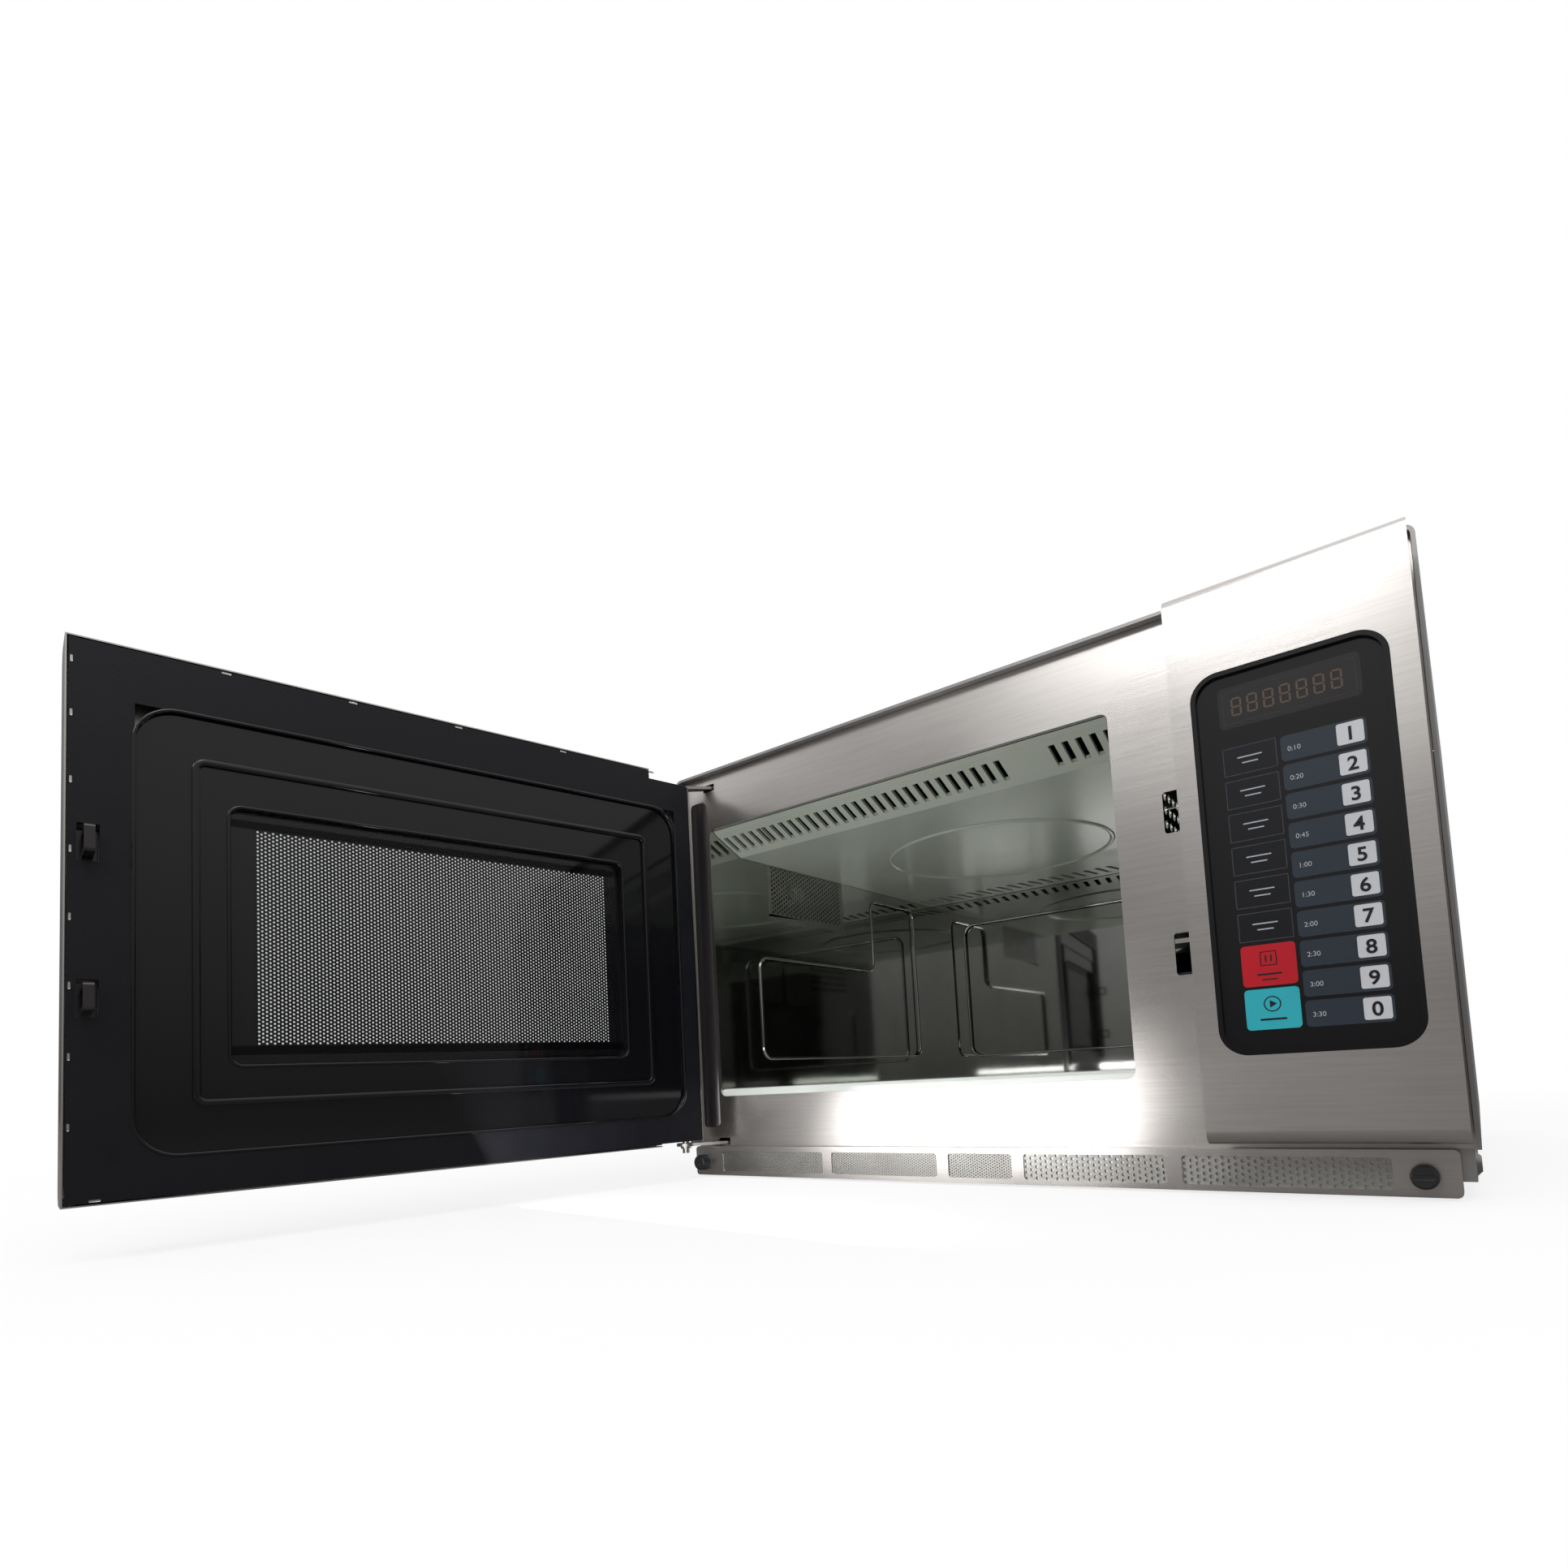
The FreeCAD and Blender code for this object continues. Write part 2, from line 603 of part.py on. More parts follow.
def case_screws():
    """The screws that hold the wrap, the back and the feet."""
    made = []
    for y in ("13", "225", "425"):
        made.append(taper("base_side", y, "17.5", "6.5", "4", "2.4", "x"))
        made.append(taper("-base_side - 2.4", y, "17.5", "4", "6.5", "2.4", "x"))
    for x in ("-262", "-90", "90", "262"):
        for z in ("24", "347"):
            made.append(taper(x, "case_back - 1", z, "4.5", "3", "2.2", "y"))
    for x in ("-foot_x", "foot_x"):
        for y in ("foot_front", "foot_rear"):
            head = rod(x, y, "base_bottom + sheet", "5", "2")
            made.append(fuse(head, rod(x, y, "4.5", "2.2", "base_bottom - 3.6")))
    keep("case_screws", *made)


# ---------------------------------------------------------------- control panel

def control_panel():
    """The bullnosed steel front of the control side, with a bevelled opening for the keys."""
    depth = "panel_return"
    outer = block("panel_left", "panel_out", "panel_low", "panel_right - panel_left", depth,
                  "panel_high - panel_low")
    face = size("panel_out")

    def front_along_x(step, middle):
        return abs(step.x) > 0.999 and middle.y < face + 1.5

    shell = cut(
        rounded(outer, 7.8, front_along_x),
        rounded(block("panel_left + sheet", "panel_out + sheet", "panel_low + sheet",
                      "panel_right - panel_left - 2 * sheet", depth,
                      "panel_high - panel_low - 2 * sheet"), 6.8, front_along_x))
    opening = rounded(block("pad_left", "panel_out - 5", "pad_low", "pad_right - pad_left", "12",
                            "pad_high - pad_low"), "pad_radius", along("y"))
    keep("control_panel", cut(shell, opening))
    outside = rounded(block("pad_left", "panel_out + 0.1", "pad_low", "pad_right - pad_left",
                            "pad_bevel", "pad_high - pad_low"), "pad_radius", along("y"))
    inside = rounded(block("pad_left + pad_bevel", "panel_out - 1", "pad_low + pad_bevel",
                           "pad_right - pad_left - 2 * pad_bevel", "10",
                           "pad_high - pad_low - 2 * pad_bevel"), 12.4, along("y"))
    keep("key_bezel", cut(outside, inside))


def key_overlay():
    """The one-piece touch overlay behind the bezel."""
    body = new_body("key_overlay")
    blank = sketch_on(body, "XZ_Plane", "-panel_out - pad_bevel - 0.1")
    rectangle(blank, "pad_left + 0.3", "pad_low + 0.3", "pad_right - 0.3", "pad_high - 0.3")
    extrude(body, "Pad", blank, "1.2", back=True)
    soften(body, "pad_radius - 0.3", along("y"))


def panel_chassis():
    """The moulded tray behind the steel front that carries the control board."""
    outer = block("panel_left + 3", "-27.5", "panel_low + 3", "panel_right - panel_left - 6", "27.3",
                  "panel_high - panel_low - 6")
    inner = block("panel_left + 5", "-30", "panel_low + 5", "panel_right - panel_left - 10", "27.5",
                  "panel_high - panel_low - 10")
    hatch = block("pad_left + 10", "-5", "pad_low + 10", "pad_right - pad_left - 20", "8",
                  "pad_high - pad_low - 40")
    keep("panel_chassis", cut(outer, inner, hatch))


def control_board():
    """The board behind the keys, with its relay, its sounder and the display on its upper end."""
    board = block("172", "-20", "66", "93", "1.6", "224")
    relay = block("182", "-18.4", "90", "20", "13", "28")
    sounder = rod("240", "-18.4", "110", "10", "8", "y")
    blocks = [block(f"{182 + index * 26}", "-18.4", "150", "18", "9", "12") for index in range(3)]
    posts = [rod(x, "-30", z, "2.5", "10", "y") for x in ("176", "261") for z in ("72", "284")]
    keep("control_board", fuse(board, relay, sounder, *blocks, *posts))
    keep("display_module", block("179", "-31.5", "262", "76", "11.4", "32"))


# ---------------------------------------------------------------- air filter

def filter_frame():
    """The pressed strip along the bottom front, with five windows."""
    body = new_body("filter_frame")
    blank = sketch_on(body, "XZ_Plane", "-filter_face")
    rectangle(blank, "filter_left", "filter_low", "filter_right", "filter_high")
    extrude(body, "Pad", blank, "filter_return", back=True)
    soften(body, "3", along("y"))
    hollow = sketch_on(body, "XZ_Plane", "-filter_face - sheet")
    rectangle(hollow, "filter_left + sheet", "filter_low + sheet", "filter_right - sheet",
              "filter_high - sheet")
    extrude(body, "Pocket", hollow, "filter_return")
    doc.recompute()
    windows = sketch_on(body, "XZ_Plane", "-filter_face")
    for left, right in ((-241.4, -134.3), (-125.6, -32.4), (-23.1, 25.2), (33.9, 126.3), (135.2, 241)):
        rectangle(windows, f"{left}", "window_low", f"{right}", "window_high")
    for x in ("screw_left", "screw_right"):
        circle(windows, x, "screw_z", "2.9")
    extrude(body, "Pocket", windows, "3")
    low, high = size("window_low") - 1, size("window_high") + 1
    soften(body, "2", lambda step, middle: abs(step.y) > 0.999 and low < middle.z < high
           and abs(middle.x) < 244)


def filter_media():
    """The fine mesh behind the windows and the punched sheet that backs it."""
    keep("filter_mesh", block("-247", "filter_face + sheet + 0.1", "3.2", "494", "0.5", "21"))
    keep("filter_backing", block("-247", "filter_face + sheet + 1.2", "3.2", "494", "0.8", "21"))


def thumb_screw(label, x):
    """A knurled screw that fingers can turn, with a raised bar across its face."""
    body = new_body(label)
    head = sketch_on(body, "XZ_Plane", "-filter_face + 0.3")
    circle(head, x, "screw_z", "screw_radius")
    extrude(body, "Pad", head, "6")
    doc.recompute()
    bar = sketch_on(body, "XZ_Plane", "-filter_face + 6.3")
    rectangle(bar, f"{x} - 1.1", "screw_z - 4.6", f"{x} + 1.1", "screw_z + 4.6")
    extrude(body, "Pad", bar, "2")
    doc.recompute()
    shank = sketch_on(body, "XZ_Plane", "-filter_face + 0.3")
    circle(shank, x, "screw_z", "2.4")
    extrude(body, "Pad", shank, "-filter_face + 7", back=True)
    doc.recompute()
    groove = sketch_on(body, "XZ_Plane", "-filter_face + 7")
    count = 20
    for index in range(count):
        turn = 2 * math.pi * index / count
        circle(groove, f"{x} + {6.6 * math.cos(turn):.3f}", f"screw_z + {6.6 * math.sin(turn):.3f}",
               "0.45")
    extrude(body, "Pocket", groove, "6.7")


# ---------------------------------------------------------------- door

def door_skin():
    """The steel front of the door: bullnosed like the panel, returned all round, glazed."""
    wide = "door_edge - door_hinge_edge"
    deep = "door_rim - door_out"
    tall = "door_high - door_low"
    face = size("door_out")
    outer = rounded(block("door_hinge_edge", "door_out", "door_low", wide, deep, tall), "bullnose",
                    lambda step, middle: abs(step.x) > 0.999 and middle.y < face + 1)
    inner = rounded(block("door_hinge_edge + sheet", "door_out + sheet", "door_low + sheet",
                          f"{wide} - 2 * sheet", deep, f"{tall} - 2 * sheet"), 9,
                    lambda step, middle: abs(step.x) > 0.999 and middle.y < face + 2)
    window = rounded(block("pane_near", "door_out - 5", "pane_low - 6", "pane_far - pane_near", "12",
                           "pane_high - pane_low + 12"), 8, along("y"))
    upper = block("door_hinge_edge - 1", "-9", "arm_high - 1", "41", "40", "8")
    lower = block("door_hinge_edge - 1", "-9", "door_low - 1", "43", "40", "2.4")
    keep("door_skin", cut(outer, inner, window, upper, lower), door=True)


def door_frame():
    """The welded inner frame: a flat sheet with walls folded up round its edge, the channel that
    chokes the microwaves, and the window."""
    plate_y, plate_top = 5, 16.5

    def wall(near, low, far, high, top):
        """A rectangular wall of sheet that stands on the plate."""
        outer = block(near, f"{plate_y}", low, f"{far} - ({near})", f"{top} - {plate_y}", f"{high} - ({low})")
        inner = block(f"{near} + sheet", "0", f"{low} + sheet", f"{far} - ({near}) - 2 * sheet", "40",
                      f"{high} - ({low}) - 2 * sheet")
        return cut(outer, inner)

    plate = block("8", f"{plate_y}", "door_low + 8", "door_edge - 13", "1.2", "door_high - door_low - 19")
    window = block("pane_near + 3", "0", "pane_low + 3", "pane_far - pane_near - 6", "40",
                   "pane_high - pane_low - 6")
    solids = fuse(
        plate,
        wall("8", "door_low + 8", "door_edge - 5", "door_high - 11", plate_top),
        wall("recess_near + 8", "recess_low + 8", "recess_far - 8", "recess_high - 8", 13.5),
        wall("pane_near + 2", "pane_low + 2", "pane_far - 2", "pane_high - 2", 11))
    strikes = [block("strike_near - 3.5", "8.9", f"{z} - 13", "60", "20", "26")
               for z in ("strike_upper", "strike_lower")]
    lugs = [block("-4", "-8", f"{z} - 0.3", "36", "16", "4.1") for z in ("arm_high - 7.5", "arm_low + 6")]
    keep("door_frame", cut(solids, window, *strikes, *lugs), door=True)


def inner_trim():
    """The textured liner round the door's inner face."""
    body = new_body("inner_trim", door=True)
    blank = sketch_on(body, "XZ_Plane", "-door_rim")
    outline(blank, [
        ("door_hinge_edge + 1.6", "door_low + 2.4"), ("38", "door_low + 2.4"), ("38", "door_low + 1.6"),
        ("door_edge - 1.6", "door_low + 1.6"), ("door_edge - 1.6", "door_high - 1.6"),
        ("36", "door_high - 1.6"), ("36", "arm_high - 1.6"), ("door_hinge_edge + 1.6", "arm_high - 1.6")])
    extrude(body, "Pad", blank, "2.2")
    doc.recompute()
    hole = sketch_on(body, "XZ_Plane", "-door_rim")
    rectangle(hole, "recess_near", "recess_low", "recess_far", "recess_high")
    extrude(body, "Pocket", hole, "2.2", back=True)
    near, far = size("recess_near"), size("recess_far")
    soften(body, "22", lambda step, middle: abs(step.y) > 0.999
           and near - 1 < middle.x < far + 1 and 50 < middle.z < 320)
    pockets = sketch_on(body, "XZ_Plane", "-door_rim")
    for centre in ("strike_upper", "strike_lower"):
        rectangle(pockets, "strike_near - 2.7", f"{centre} - 10.7", "strike_near + strike_width + 2.7",
                  f"{centre} + 10.7")
    extrude(body, "Pocket", pockets, "2.2", back=True)


def choke_cover():
    """The glossy cover over the choke, with a raised rib and the window's frame."""
    wide = "recess_far - recess_near"
    tall = "recess_high - recess_low"
    flat = rounded(block("recess_near + 0.4", "door_rim - 5.2", "recess_low + 0.4", f"{wide} - 0.8", "2.2",
                         f"{tall} - 0.8"), 21.6, along("y"))

    def frame(near, low, far, high, y, deep, band, radius):
        """A rectangular rib of one band's width, with round corners."""
        wide, tall = f"{far} - ({near})", f"{high} - ({low})"
        whole = rounded(block(near, y, low, wide, deep, tall), radius, along("y"))
        hole = rounded(block(f"{near} + {band}", y, f"{low} + {band}", f"{wide} - 2 * {band}",
                             deep, f"{tall} - 2 * {band}"), max(radius - band, 1), along("y"))
        return cut(whole, hole)

    rib = frame("rib_near", "rib_low", "rib_far", "rib_high", "door_rim - 3.1", "2", 4, 7)
    window = rounded(block("pane_near", "door_rim - 9", "pane_low", "pane_far - pane_near", "12",
                           "pane_high - pane_low"), 6, along("y"))
    lip = frame("pane_near - 2", "pane_low - 2", "pane_far + 2", "pane_high + 2", "door_rim - 8", "5.6",
                2, 8)
    keep("choke_cover", fuse(cut(flat, window), rib, lip), door=True)


def door_glazing():
    """The outer glass, the punched screen and the clear inner pane."""
    high = "pane_high - pane_low"
    long = "pane_far - pane_near"
    keep("outer_glass", rounded(block("pane_near - 6", "door_out + sheet + 0.1", "pane_low - 12",
                                      f"{long} + 12", "1.8", f"{high} + 24"), 6, along("y")), door=True)
    keep("door_screen", block("pane_near + 0.4", "door_rim - 8.6", "pane_low + 0.4", f"{long} - 0.8",
                              "0.6", f"{high} - 0.8"), door=True)
    keep("inner_pane", rounded(block("pane_near + 0.4", "door_rim - 7.8", "pane_low + 0.4",
                                     f"{long} - 0.8", "0.8", f"{high} - 0.8"), 7, along("y")), door=True)


def strikes():
    """The two steel loops that the latches catch."""
    made = []
    for centre in ("strike_upper", "strike_lower"):
        loop = cut(block("strike_near", "11", f"{centre} - strike_half", "strike_width",
                         "strike_reach - 11", "2 * strike_half"),
                   block("strike_near - 1", "11", f"{centre} - strike_half + 3", "strike_width + 2",
                         "strike_reach - 14", "2 * strike_half - 6"))
        foot = block("strike_near - 2.5", "6.2", f"{centre} - 10", "strike_width + 5", "5", "20")
        bend = rounded(loop, 2, lambda step, middle: abs(step.x) > 0.999 and middle.y > 32)
        made.append(fuse(bend, foot))
    keep("latch_strikes", *made, door=True)


def handle():
    """The bar handle on the door's outer face, on two stand-offs."""
    bar = rounded(block("380", "door_out - 36", "98", "16", "11", "190"), 4.5, along("z"))
    posts = [rod("388", "door_out - 26", z, "6", "26", "y") for z in ("116", "270")]
    keep("door_handle", fuse(bar, *posts), door=True)


def door_lugs():
    """The bored plates inside the door that turn on the hinge pins."""
    plates = [cut(block("-3", "-7", z, "34", "14", "3.5"),
                  rod("0", "0", f"{z} - 1", "pin_radius + pin_clearance", "6"))
              for z in ("arm_high - 7.5", "arm_low + 6")]
    keep("door_lugs", *plates, door=True)


# ---------------------------------------------------------------- hinges and latches

def hinges():
    """The two zinc-plated arms that come out of the plate, and the pins they carry."""
    pins = []
    for label, z, root_drop, pin_low, pin_length, cap_low in (
            ("upper_hinge", "arm_high", 5, "arm_high - 8.5", "11.5", "arm_high + arm_thick"),
            ("lower_hinge", "arm_low", 0.5, "arm_low - 6", "17.5", "arm_low - 2")):
        eye = rod("hinge_x", "hinge_y", z, "8", "arm_thick")
        arm = doc.addObject("Part::Feature", "Arm")
        across = Vector(-243 - size("hinge_x"), 2 - size("hinge_y"), 0)
        side = Vector(-across.y, across.x, 0).normalize() * 5.5
        corners = [side, across + side * 0.5, across - side * 0.5, side * -1]
        outline_wire = Part.makePolygon(corners + [corners[0]])
        arm.Shape = Part.Face(outline_wire).extrude(Vector(0, 0, size("arm_thick")))
        put(arm, "hinge_x", "hinge_y", z)
        tail = block("-246", "1.5", z, "6", "16", "arm_thick")
        root = block("-246", "14", f"{z} - {root_drop}", "6", "3", "11")
        pin = rod("hinge_x", "hinge_y", pin_low, "pin_radius", pin_length)
        keep(label, cut(fuse(eye, arm, tail, root), rod("hinge_x", "hinge_y", pin_low, "pin_radius",
                                                        pin_length)))
        pins.append(fuse(pin, rod("hinge_x", "hinge_y", cap_low, "4.6", "2")))
    keep("hinge_pins", *pins)


def latch_housing():
    """The moulded bracket behind the plate: a web with a pair of shelves for each pawl."""
    solids = [block("160", "plate_thick + 0.3", "118", "3", "46", "140")]
    for centre in ("strike_upper", "strike_lower"):
        for low in (f"{centre} - 9", f"{centre} + 6"):
            solids.append(block("144", "27", low, "17", "16", "3"))
        solids.append(rod("pawl_x", "pawl_y", f"{centre} - 8", "2", "16"))
    keep("latch_housing", fuse(*solids))


def pawl(label, centre):
    """A hooked pawl on its own pin, turned back clear of the slot while the door is open."""
    arm = block("-2", "-31.6", "-pawl_half", "4", "33", "2 * pawl_half")
    hook = block("-7.5", "-31.6", "-pawl_half", "6", "2.2", "2 * pawl_half")
    boss = rod("0", "0", "-pawl_half", "4.6", "2 * pawl_half")
    solid = cut(fuse(arm, hook, boss), rod("0", "0", "-pawl_half - 1", "2.05", "2 * pawl_half + 2"))
    group = doc.addObject("Part::Compound", "Part_" + label)
    group.Links = [solid]
    group.Label = label
    bind(group, "Placement.Rotation.Angle", "pawl_open")
    group.Placement.Rotation.Axis = Vector(0, 0, 1)
    put(group, "foot_x + pawl_x", "pawl_y - foot_front", centre)
    PARTS.append(group)


def latch_springs():
    """The coil spring round each pawl's pin."""
    coils = []
    for centre in ("strike_upper", "strike_lower"):
        turns = [ring("pawl_x", "pawl_y", f"{centre} + {4.55 + 0.6 * turn}", "2.9", "0.33")
                 for turn in range(2)]
        coils.append(fuse(*turns))
    keep("latch_springs", *coils)


def interlock_switches():
    """The three safety switches beside the latches."""
    made = []
    for z in ("124", "176", "236"):
        case = block("163.3", "8", z, "8", "28", "16")
        made.append(fuse(case, block("165", "4.5", f"{z} + 6", "4", "4", "4")))
    keep("interlock_switches", *made)


def build_all():
    outer_wrap()
    base_pan()
    feet()
    rear_panel()
    front_plate()
    hinge_bead()
    cavity_box()
    lamp_vent()
    ceramic_shelf()
    shelf_seal()
    splatter_shield()
    stirrer()
    stirrer_motor()
    waveguide()
    magnetron()
    transformer()
    capacitor()
    diode()
    line_filter()
    fan()
    lamp()
    thermal_cutouts()
    cord_gland()
    case_screws()
    control_panel()
    key_overlay()
    panel_chassis()
    control_board()
    filter_frame()
    filter_media()
    thumb_screw("left_thumb_screw", "screw_left")
    thumb_screw("right_thumb_screw", "screw_right")
    door_skin()
    door_frame()
    inner_trim()
    choke_cover()
    door_glazing()
    strikes()
    handle()
    door_lugs()
    hinges()
    latch_housing()
    pawl("upper_pawl", "strike_upper")
    pawl("lower_pawl", "strike_lower")
    latch_springs()
    interlock_switches()


def check_and_write():
    doc.recompute()
    failed = [f"{item.Name} in {[parent.Label for parent in item.InList]}" for item in doc.Objects
              if "Invalid" in item.State or "Error" in item.State]
    if failed:
        raise RuntimeError("failed: " + ", ".join(failed))
    for item in PARTS:
        shape = item.Shape
        if shape.isNull() or not shape.isValid() or not shape.Solids:
            raise RuntimeError(f"{item.Label} has no valid solid")
        shape.exportStep(os.path.join("parts", item.Label + ".step"))
    print(f"{len(PARTS)} sub-parts written")


build_all()
check_and_write()
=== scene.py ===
import json
import math

import bmesh
import bpy
from mathutils import Matrix, Vector

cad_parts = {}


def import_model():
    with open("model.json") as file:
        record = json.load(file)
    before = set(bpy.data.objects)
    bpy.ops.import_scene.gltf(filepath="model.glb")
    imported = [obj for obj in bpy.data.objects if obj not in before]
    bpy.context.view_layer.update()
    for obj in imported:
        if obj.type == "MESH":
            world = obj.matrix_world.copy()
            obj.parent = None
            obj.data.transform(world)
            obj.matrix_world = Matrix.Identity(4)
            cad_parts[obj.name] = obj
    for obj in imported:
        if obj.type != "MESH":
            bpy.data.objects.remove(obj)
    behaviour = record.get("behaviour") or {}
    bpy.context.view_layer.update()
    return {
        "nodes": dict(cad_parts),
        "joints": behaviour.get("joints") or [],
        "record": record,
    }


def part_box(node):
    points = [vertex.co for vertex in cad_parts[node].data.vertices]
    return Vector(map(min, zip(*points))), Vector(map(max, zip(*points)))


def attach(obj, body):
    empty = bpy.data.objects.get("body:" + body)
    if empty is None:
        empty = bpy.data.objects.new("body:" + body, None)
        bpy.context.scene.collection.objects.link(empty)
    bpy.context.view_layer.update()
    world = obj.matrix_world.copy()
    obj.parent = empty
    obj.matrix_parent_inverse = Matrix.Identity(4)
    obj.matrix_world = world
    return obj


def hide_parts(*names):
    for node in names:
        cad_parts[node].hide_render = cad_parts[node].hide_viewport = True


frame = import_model()

# Pieces are drawn in millimetres, in one of two frames. CASE: x from the oven's centre line, y from
# the front plate's face towards the back, z from the bench. DOOR: the shut door's own frame, with x
# from the hinge axis and y towards the case; its matrix carries it to where the door stands open.
MM = 0.001
hinge = next(joint for joint in frame["joints"] if joint["name"] == "door_hinge")
wrap_low, wrap_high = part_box("outer_wrap")
plate_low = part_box("front_plate")[0]
CASE = Matrix.Translation(((wrap_low.x + wrap_high.x) / 2, plate_low.y, 0))
DOOR = (Matrix.Translation((hinge["pos_m"][0], hinge["pos_m"][1], 0))
        @ Matrix.Rotation(-math.radians(hinge["range_deg"][1]), 4, "Z"))


def case_box(node):
    """A case node's lowest and highest corners, in the CASE frame's millimetres."""
    low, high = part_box(node)
    shift = CASE.translation
    return (low - shift) / MM, (high - shift) / MM


def door_span(node):
    """A door node's lowest and highest corners, in the DOOR frame's millimetres."""
    back = DOOR.inverted()
    points = [back @ vertex.co / MM for vertex in frame["nodes"][node].data.vertices]
    low = Vector([min(point[axis] for point in points) for axis in range(3)])
    high = Vector([max(point[axis] for point in points) for axis in range(3)])
    return low, high


# ---------------------------------------------------------------- materials

class Nodes:
    """A material's node tree, with short calls for the nodes that this scene uses."""

    def __init__(self, name, colour, metallic, roughness, **sockets):
        self.material = bpy.data.materials.new(name)
        self.material.use_nodes = True
        self.tree = self.material.node_tree
        self.shader = self.tree.nodes["Principled BSDF"]
        self.set("Base Color", (*colour, 1))
        self.set("Metallic", metallic)
        self.set("Roughness", roughness)
        for socket, value in sockets.items():
            self.set(socket.replace("_", " "), value)
        self.place = self.tree.nodes.new("ShaderNodeTexCoord").outputs["Object"]

    def set(self, socket, value):
        self.shader.inputs[socket].default_value = value

    def noise(self, scale, stretch=(1, 1, 1), detail=3.0, distortion=0.0):
        """Noise with scale features to the metre, stretched by dividing each axis."""
        mapping = self.tree.nodes.new("ShaderNodeMapping")
        mapping.inputs["Scale"].default_value = tuple(1 / part for part in stretch)
        texture = self.tree.nodes.new("ShaderNodeTexNoise")
        texture.inputs["Scale"].default_value = scale
        texture.inputs["Detail"].default_value = detail
        texture.inputs["Distortion"].default_value = distortion
        self.tree.links.new(self.place, mapping.inputs["Vector"])
        self.tree.links.new(mapping.outputs["Vector"], texture.inputs["Vector"])
        return texture.outputs["Fac"]

    def spread(self, source, low, high, start=0.3, end=0.7):
        """The source's range from start to end, mapped to low and high."""
        node = self.tree.nodes.new("ShaderNodeMapRange")
        node.inputs["From Min"].default_value = start
        node.inputs["From Max"].default_value = end
        node.inputs["To Min"].default_value = low
        node.inputs["To Max"].default_value = high
        self.tree.links.new(source, node.inputs["Value"])
        return node.outputs["Result"]

    def tint(self, source, first, second, start=0.35, end=0.65):
        """A colour between two, by the source."""
        node = self.tree.nodes.new("ShaderNodeValToRGB")
        node.color_ramp.elements[0].position = start
        node.color_ramp.elements[0].color = (*first, 1)
        node.color_ramp.elements[1].position = end
        node.color_ramp.elements[1].color = (*second, 1)
        self.tree.links.new(source, node.inputs["Fac"])
        return node.outputs["Color"]

    def link(self, source, socket):
        self.tree.links.new(source, self.shader.inputs[socket])

    def bump(self, source, depth, strength=1.0):
        """Raises the surface by the source, depth in millimetres."""
        node = self.tree.nodes.new("ShaderNodeBump")
        node.inputs["Strength"].default_value = strength
        node.inputs["Distance"].default_value = depth * MM
        self.tree.links.new(source, node.inputs["Height"])
        if self.shader.inputs["Normal"].is_linked:
            before = self.shader.inputs["Normal"].links[0].from_socket
            self.tree.links.new(before, node.inputs["Normal"])
        self.link(node.outputs["Normal"], "Normal")


def shade(colour, factor):
    return tuple(part * factor for part in colour)


def brushed(name, colour, roughness=0.3, along="x", depth=0.006, contrast=0.045, length=45):
    """Brushed steel: fine streaks along one axis, and a slow cloudiness."""
    nodes = Nodes(name, colour, 1.0, roughness)
    stretch = {"x": (length, 1, 1), "y": (1, length, 1), "z": (1, 1, length)}[along]
    fine = nodes.noise(2600, stretch, 4)
    broad = nodes.noise(1100, stretch, 4)
    cloud = nodes.noise(7, (1, 1, 1), 2)
    nodes.link(nodes.tint(broad, shade(colour, 1 - contrast), shade(colour, 1 + contrast)), "Base Color")
    nodes.link(nodes.spread(cloud, roughness - 0.05, roughness + 0.06), "Roughness")
    nodes.bump(fine, depth)
    return nodes.material


def sheet_metal(name, colour, roughness, depth=0.01):
    """Plain plated or polished sheet, with faint rolling marks and smears."""
    nodes = Nodes(name, colour, 1.0, roughness)
    smear = nodes.noise(14, (1, 1, 1), 4, 0.6)
    marks = nodes.noise(600, (8, 1, 1), 2)
    nodes.link(nodes.spread(smear, roughness * 0.75, roughness * 1.35), "Roughness")
    nodes.link(nodes.tint(smear, shade(colour, 0.93), shade(colour, 1.04)), "Base Color")
    nodes.bump(marks, depth)
    return nodes.material


def paint(name, colour, roughness=0.4, metallic=0.0, peel=0.01, grain=900, **sockets):
    """Paint or plastic with a fine skin, a little uneven in gloss."""
    nodes = Nodes(name, colour, metallic, roughness, **sockets)
    skin = nodes.noise(grain, (1, 1, 1), 3)
    cloud = nodes.noise(11, (1, 1, 1), 3)
    nodes.link(nodes.spread(cloud, roughness * 0.94, min(roughness * 1.06, 1)), "Roughness")
    nodes.link(nodes.tint(cloud, shade(colour, 0.94), shade(colour, 1.05)), "Base Color")
    nodes.bump(skin, peel)
    return nodes.material


def leathery(name, colour, roughness, cell, depth):
    """Textured plastic-coated sheet: small irregular pips."""
    nodes = Nodes(name, colour, 0.0, roughness, Specular_IOR_Level=0.3)
    texture = nodes.tree.nodes.new("ShaderNodeTexVoronoi")
    texture.inputs["Scale"].default_value = 1000 / cell
    nodes.tree.links.new(nodes.place, texture.inputs["Vector"])
    cloud = nodes.noise(30, (1, 1, 1), 4)
    nodes.link(nodes.spread(cloud, roughness - 0.06, roughness + 0.08), "Roughness")
    nodes.link(nodes.tint(texture.outputs["Distance"], shade(colour, 0.7), shade(colour, 1.4), 0.1, 0.7),
               "Base Color")
    nodes.bump(texture.outputs["Distance"], depth)
    return nodes.material


def glass(name, colour, cover, roughness=0.03):
    """A thin flat pane: it lets light straight through, less its cover, and shines."""
    nodes = Nodes(name, colour, 0.0, roughness, Alpha=cover, Specular_IOR_Level=1.0)
    nodes.link(nodes.spread(nodes.noise(9), roughness, roughness + 0.02), "Roughness")
    return nodes.material


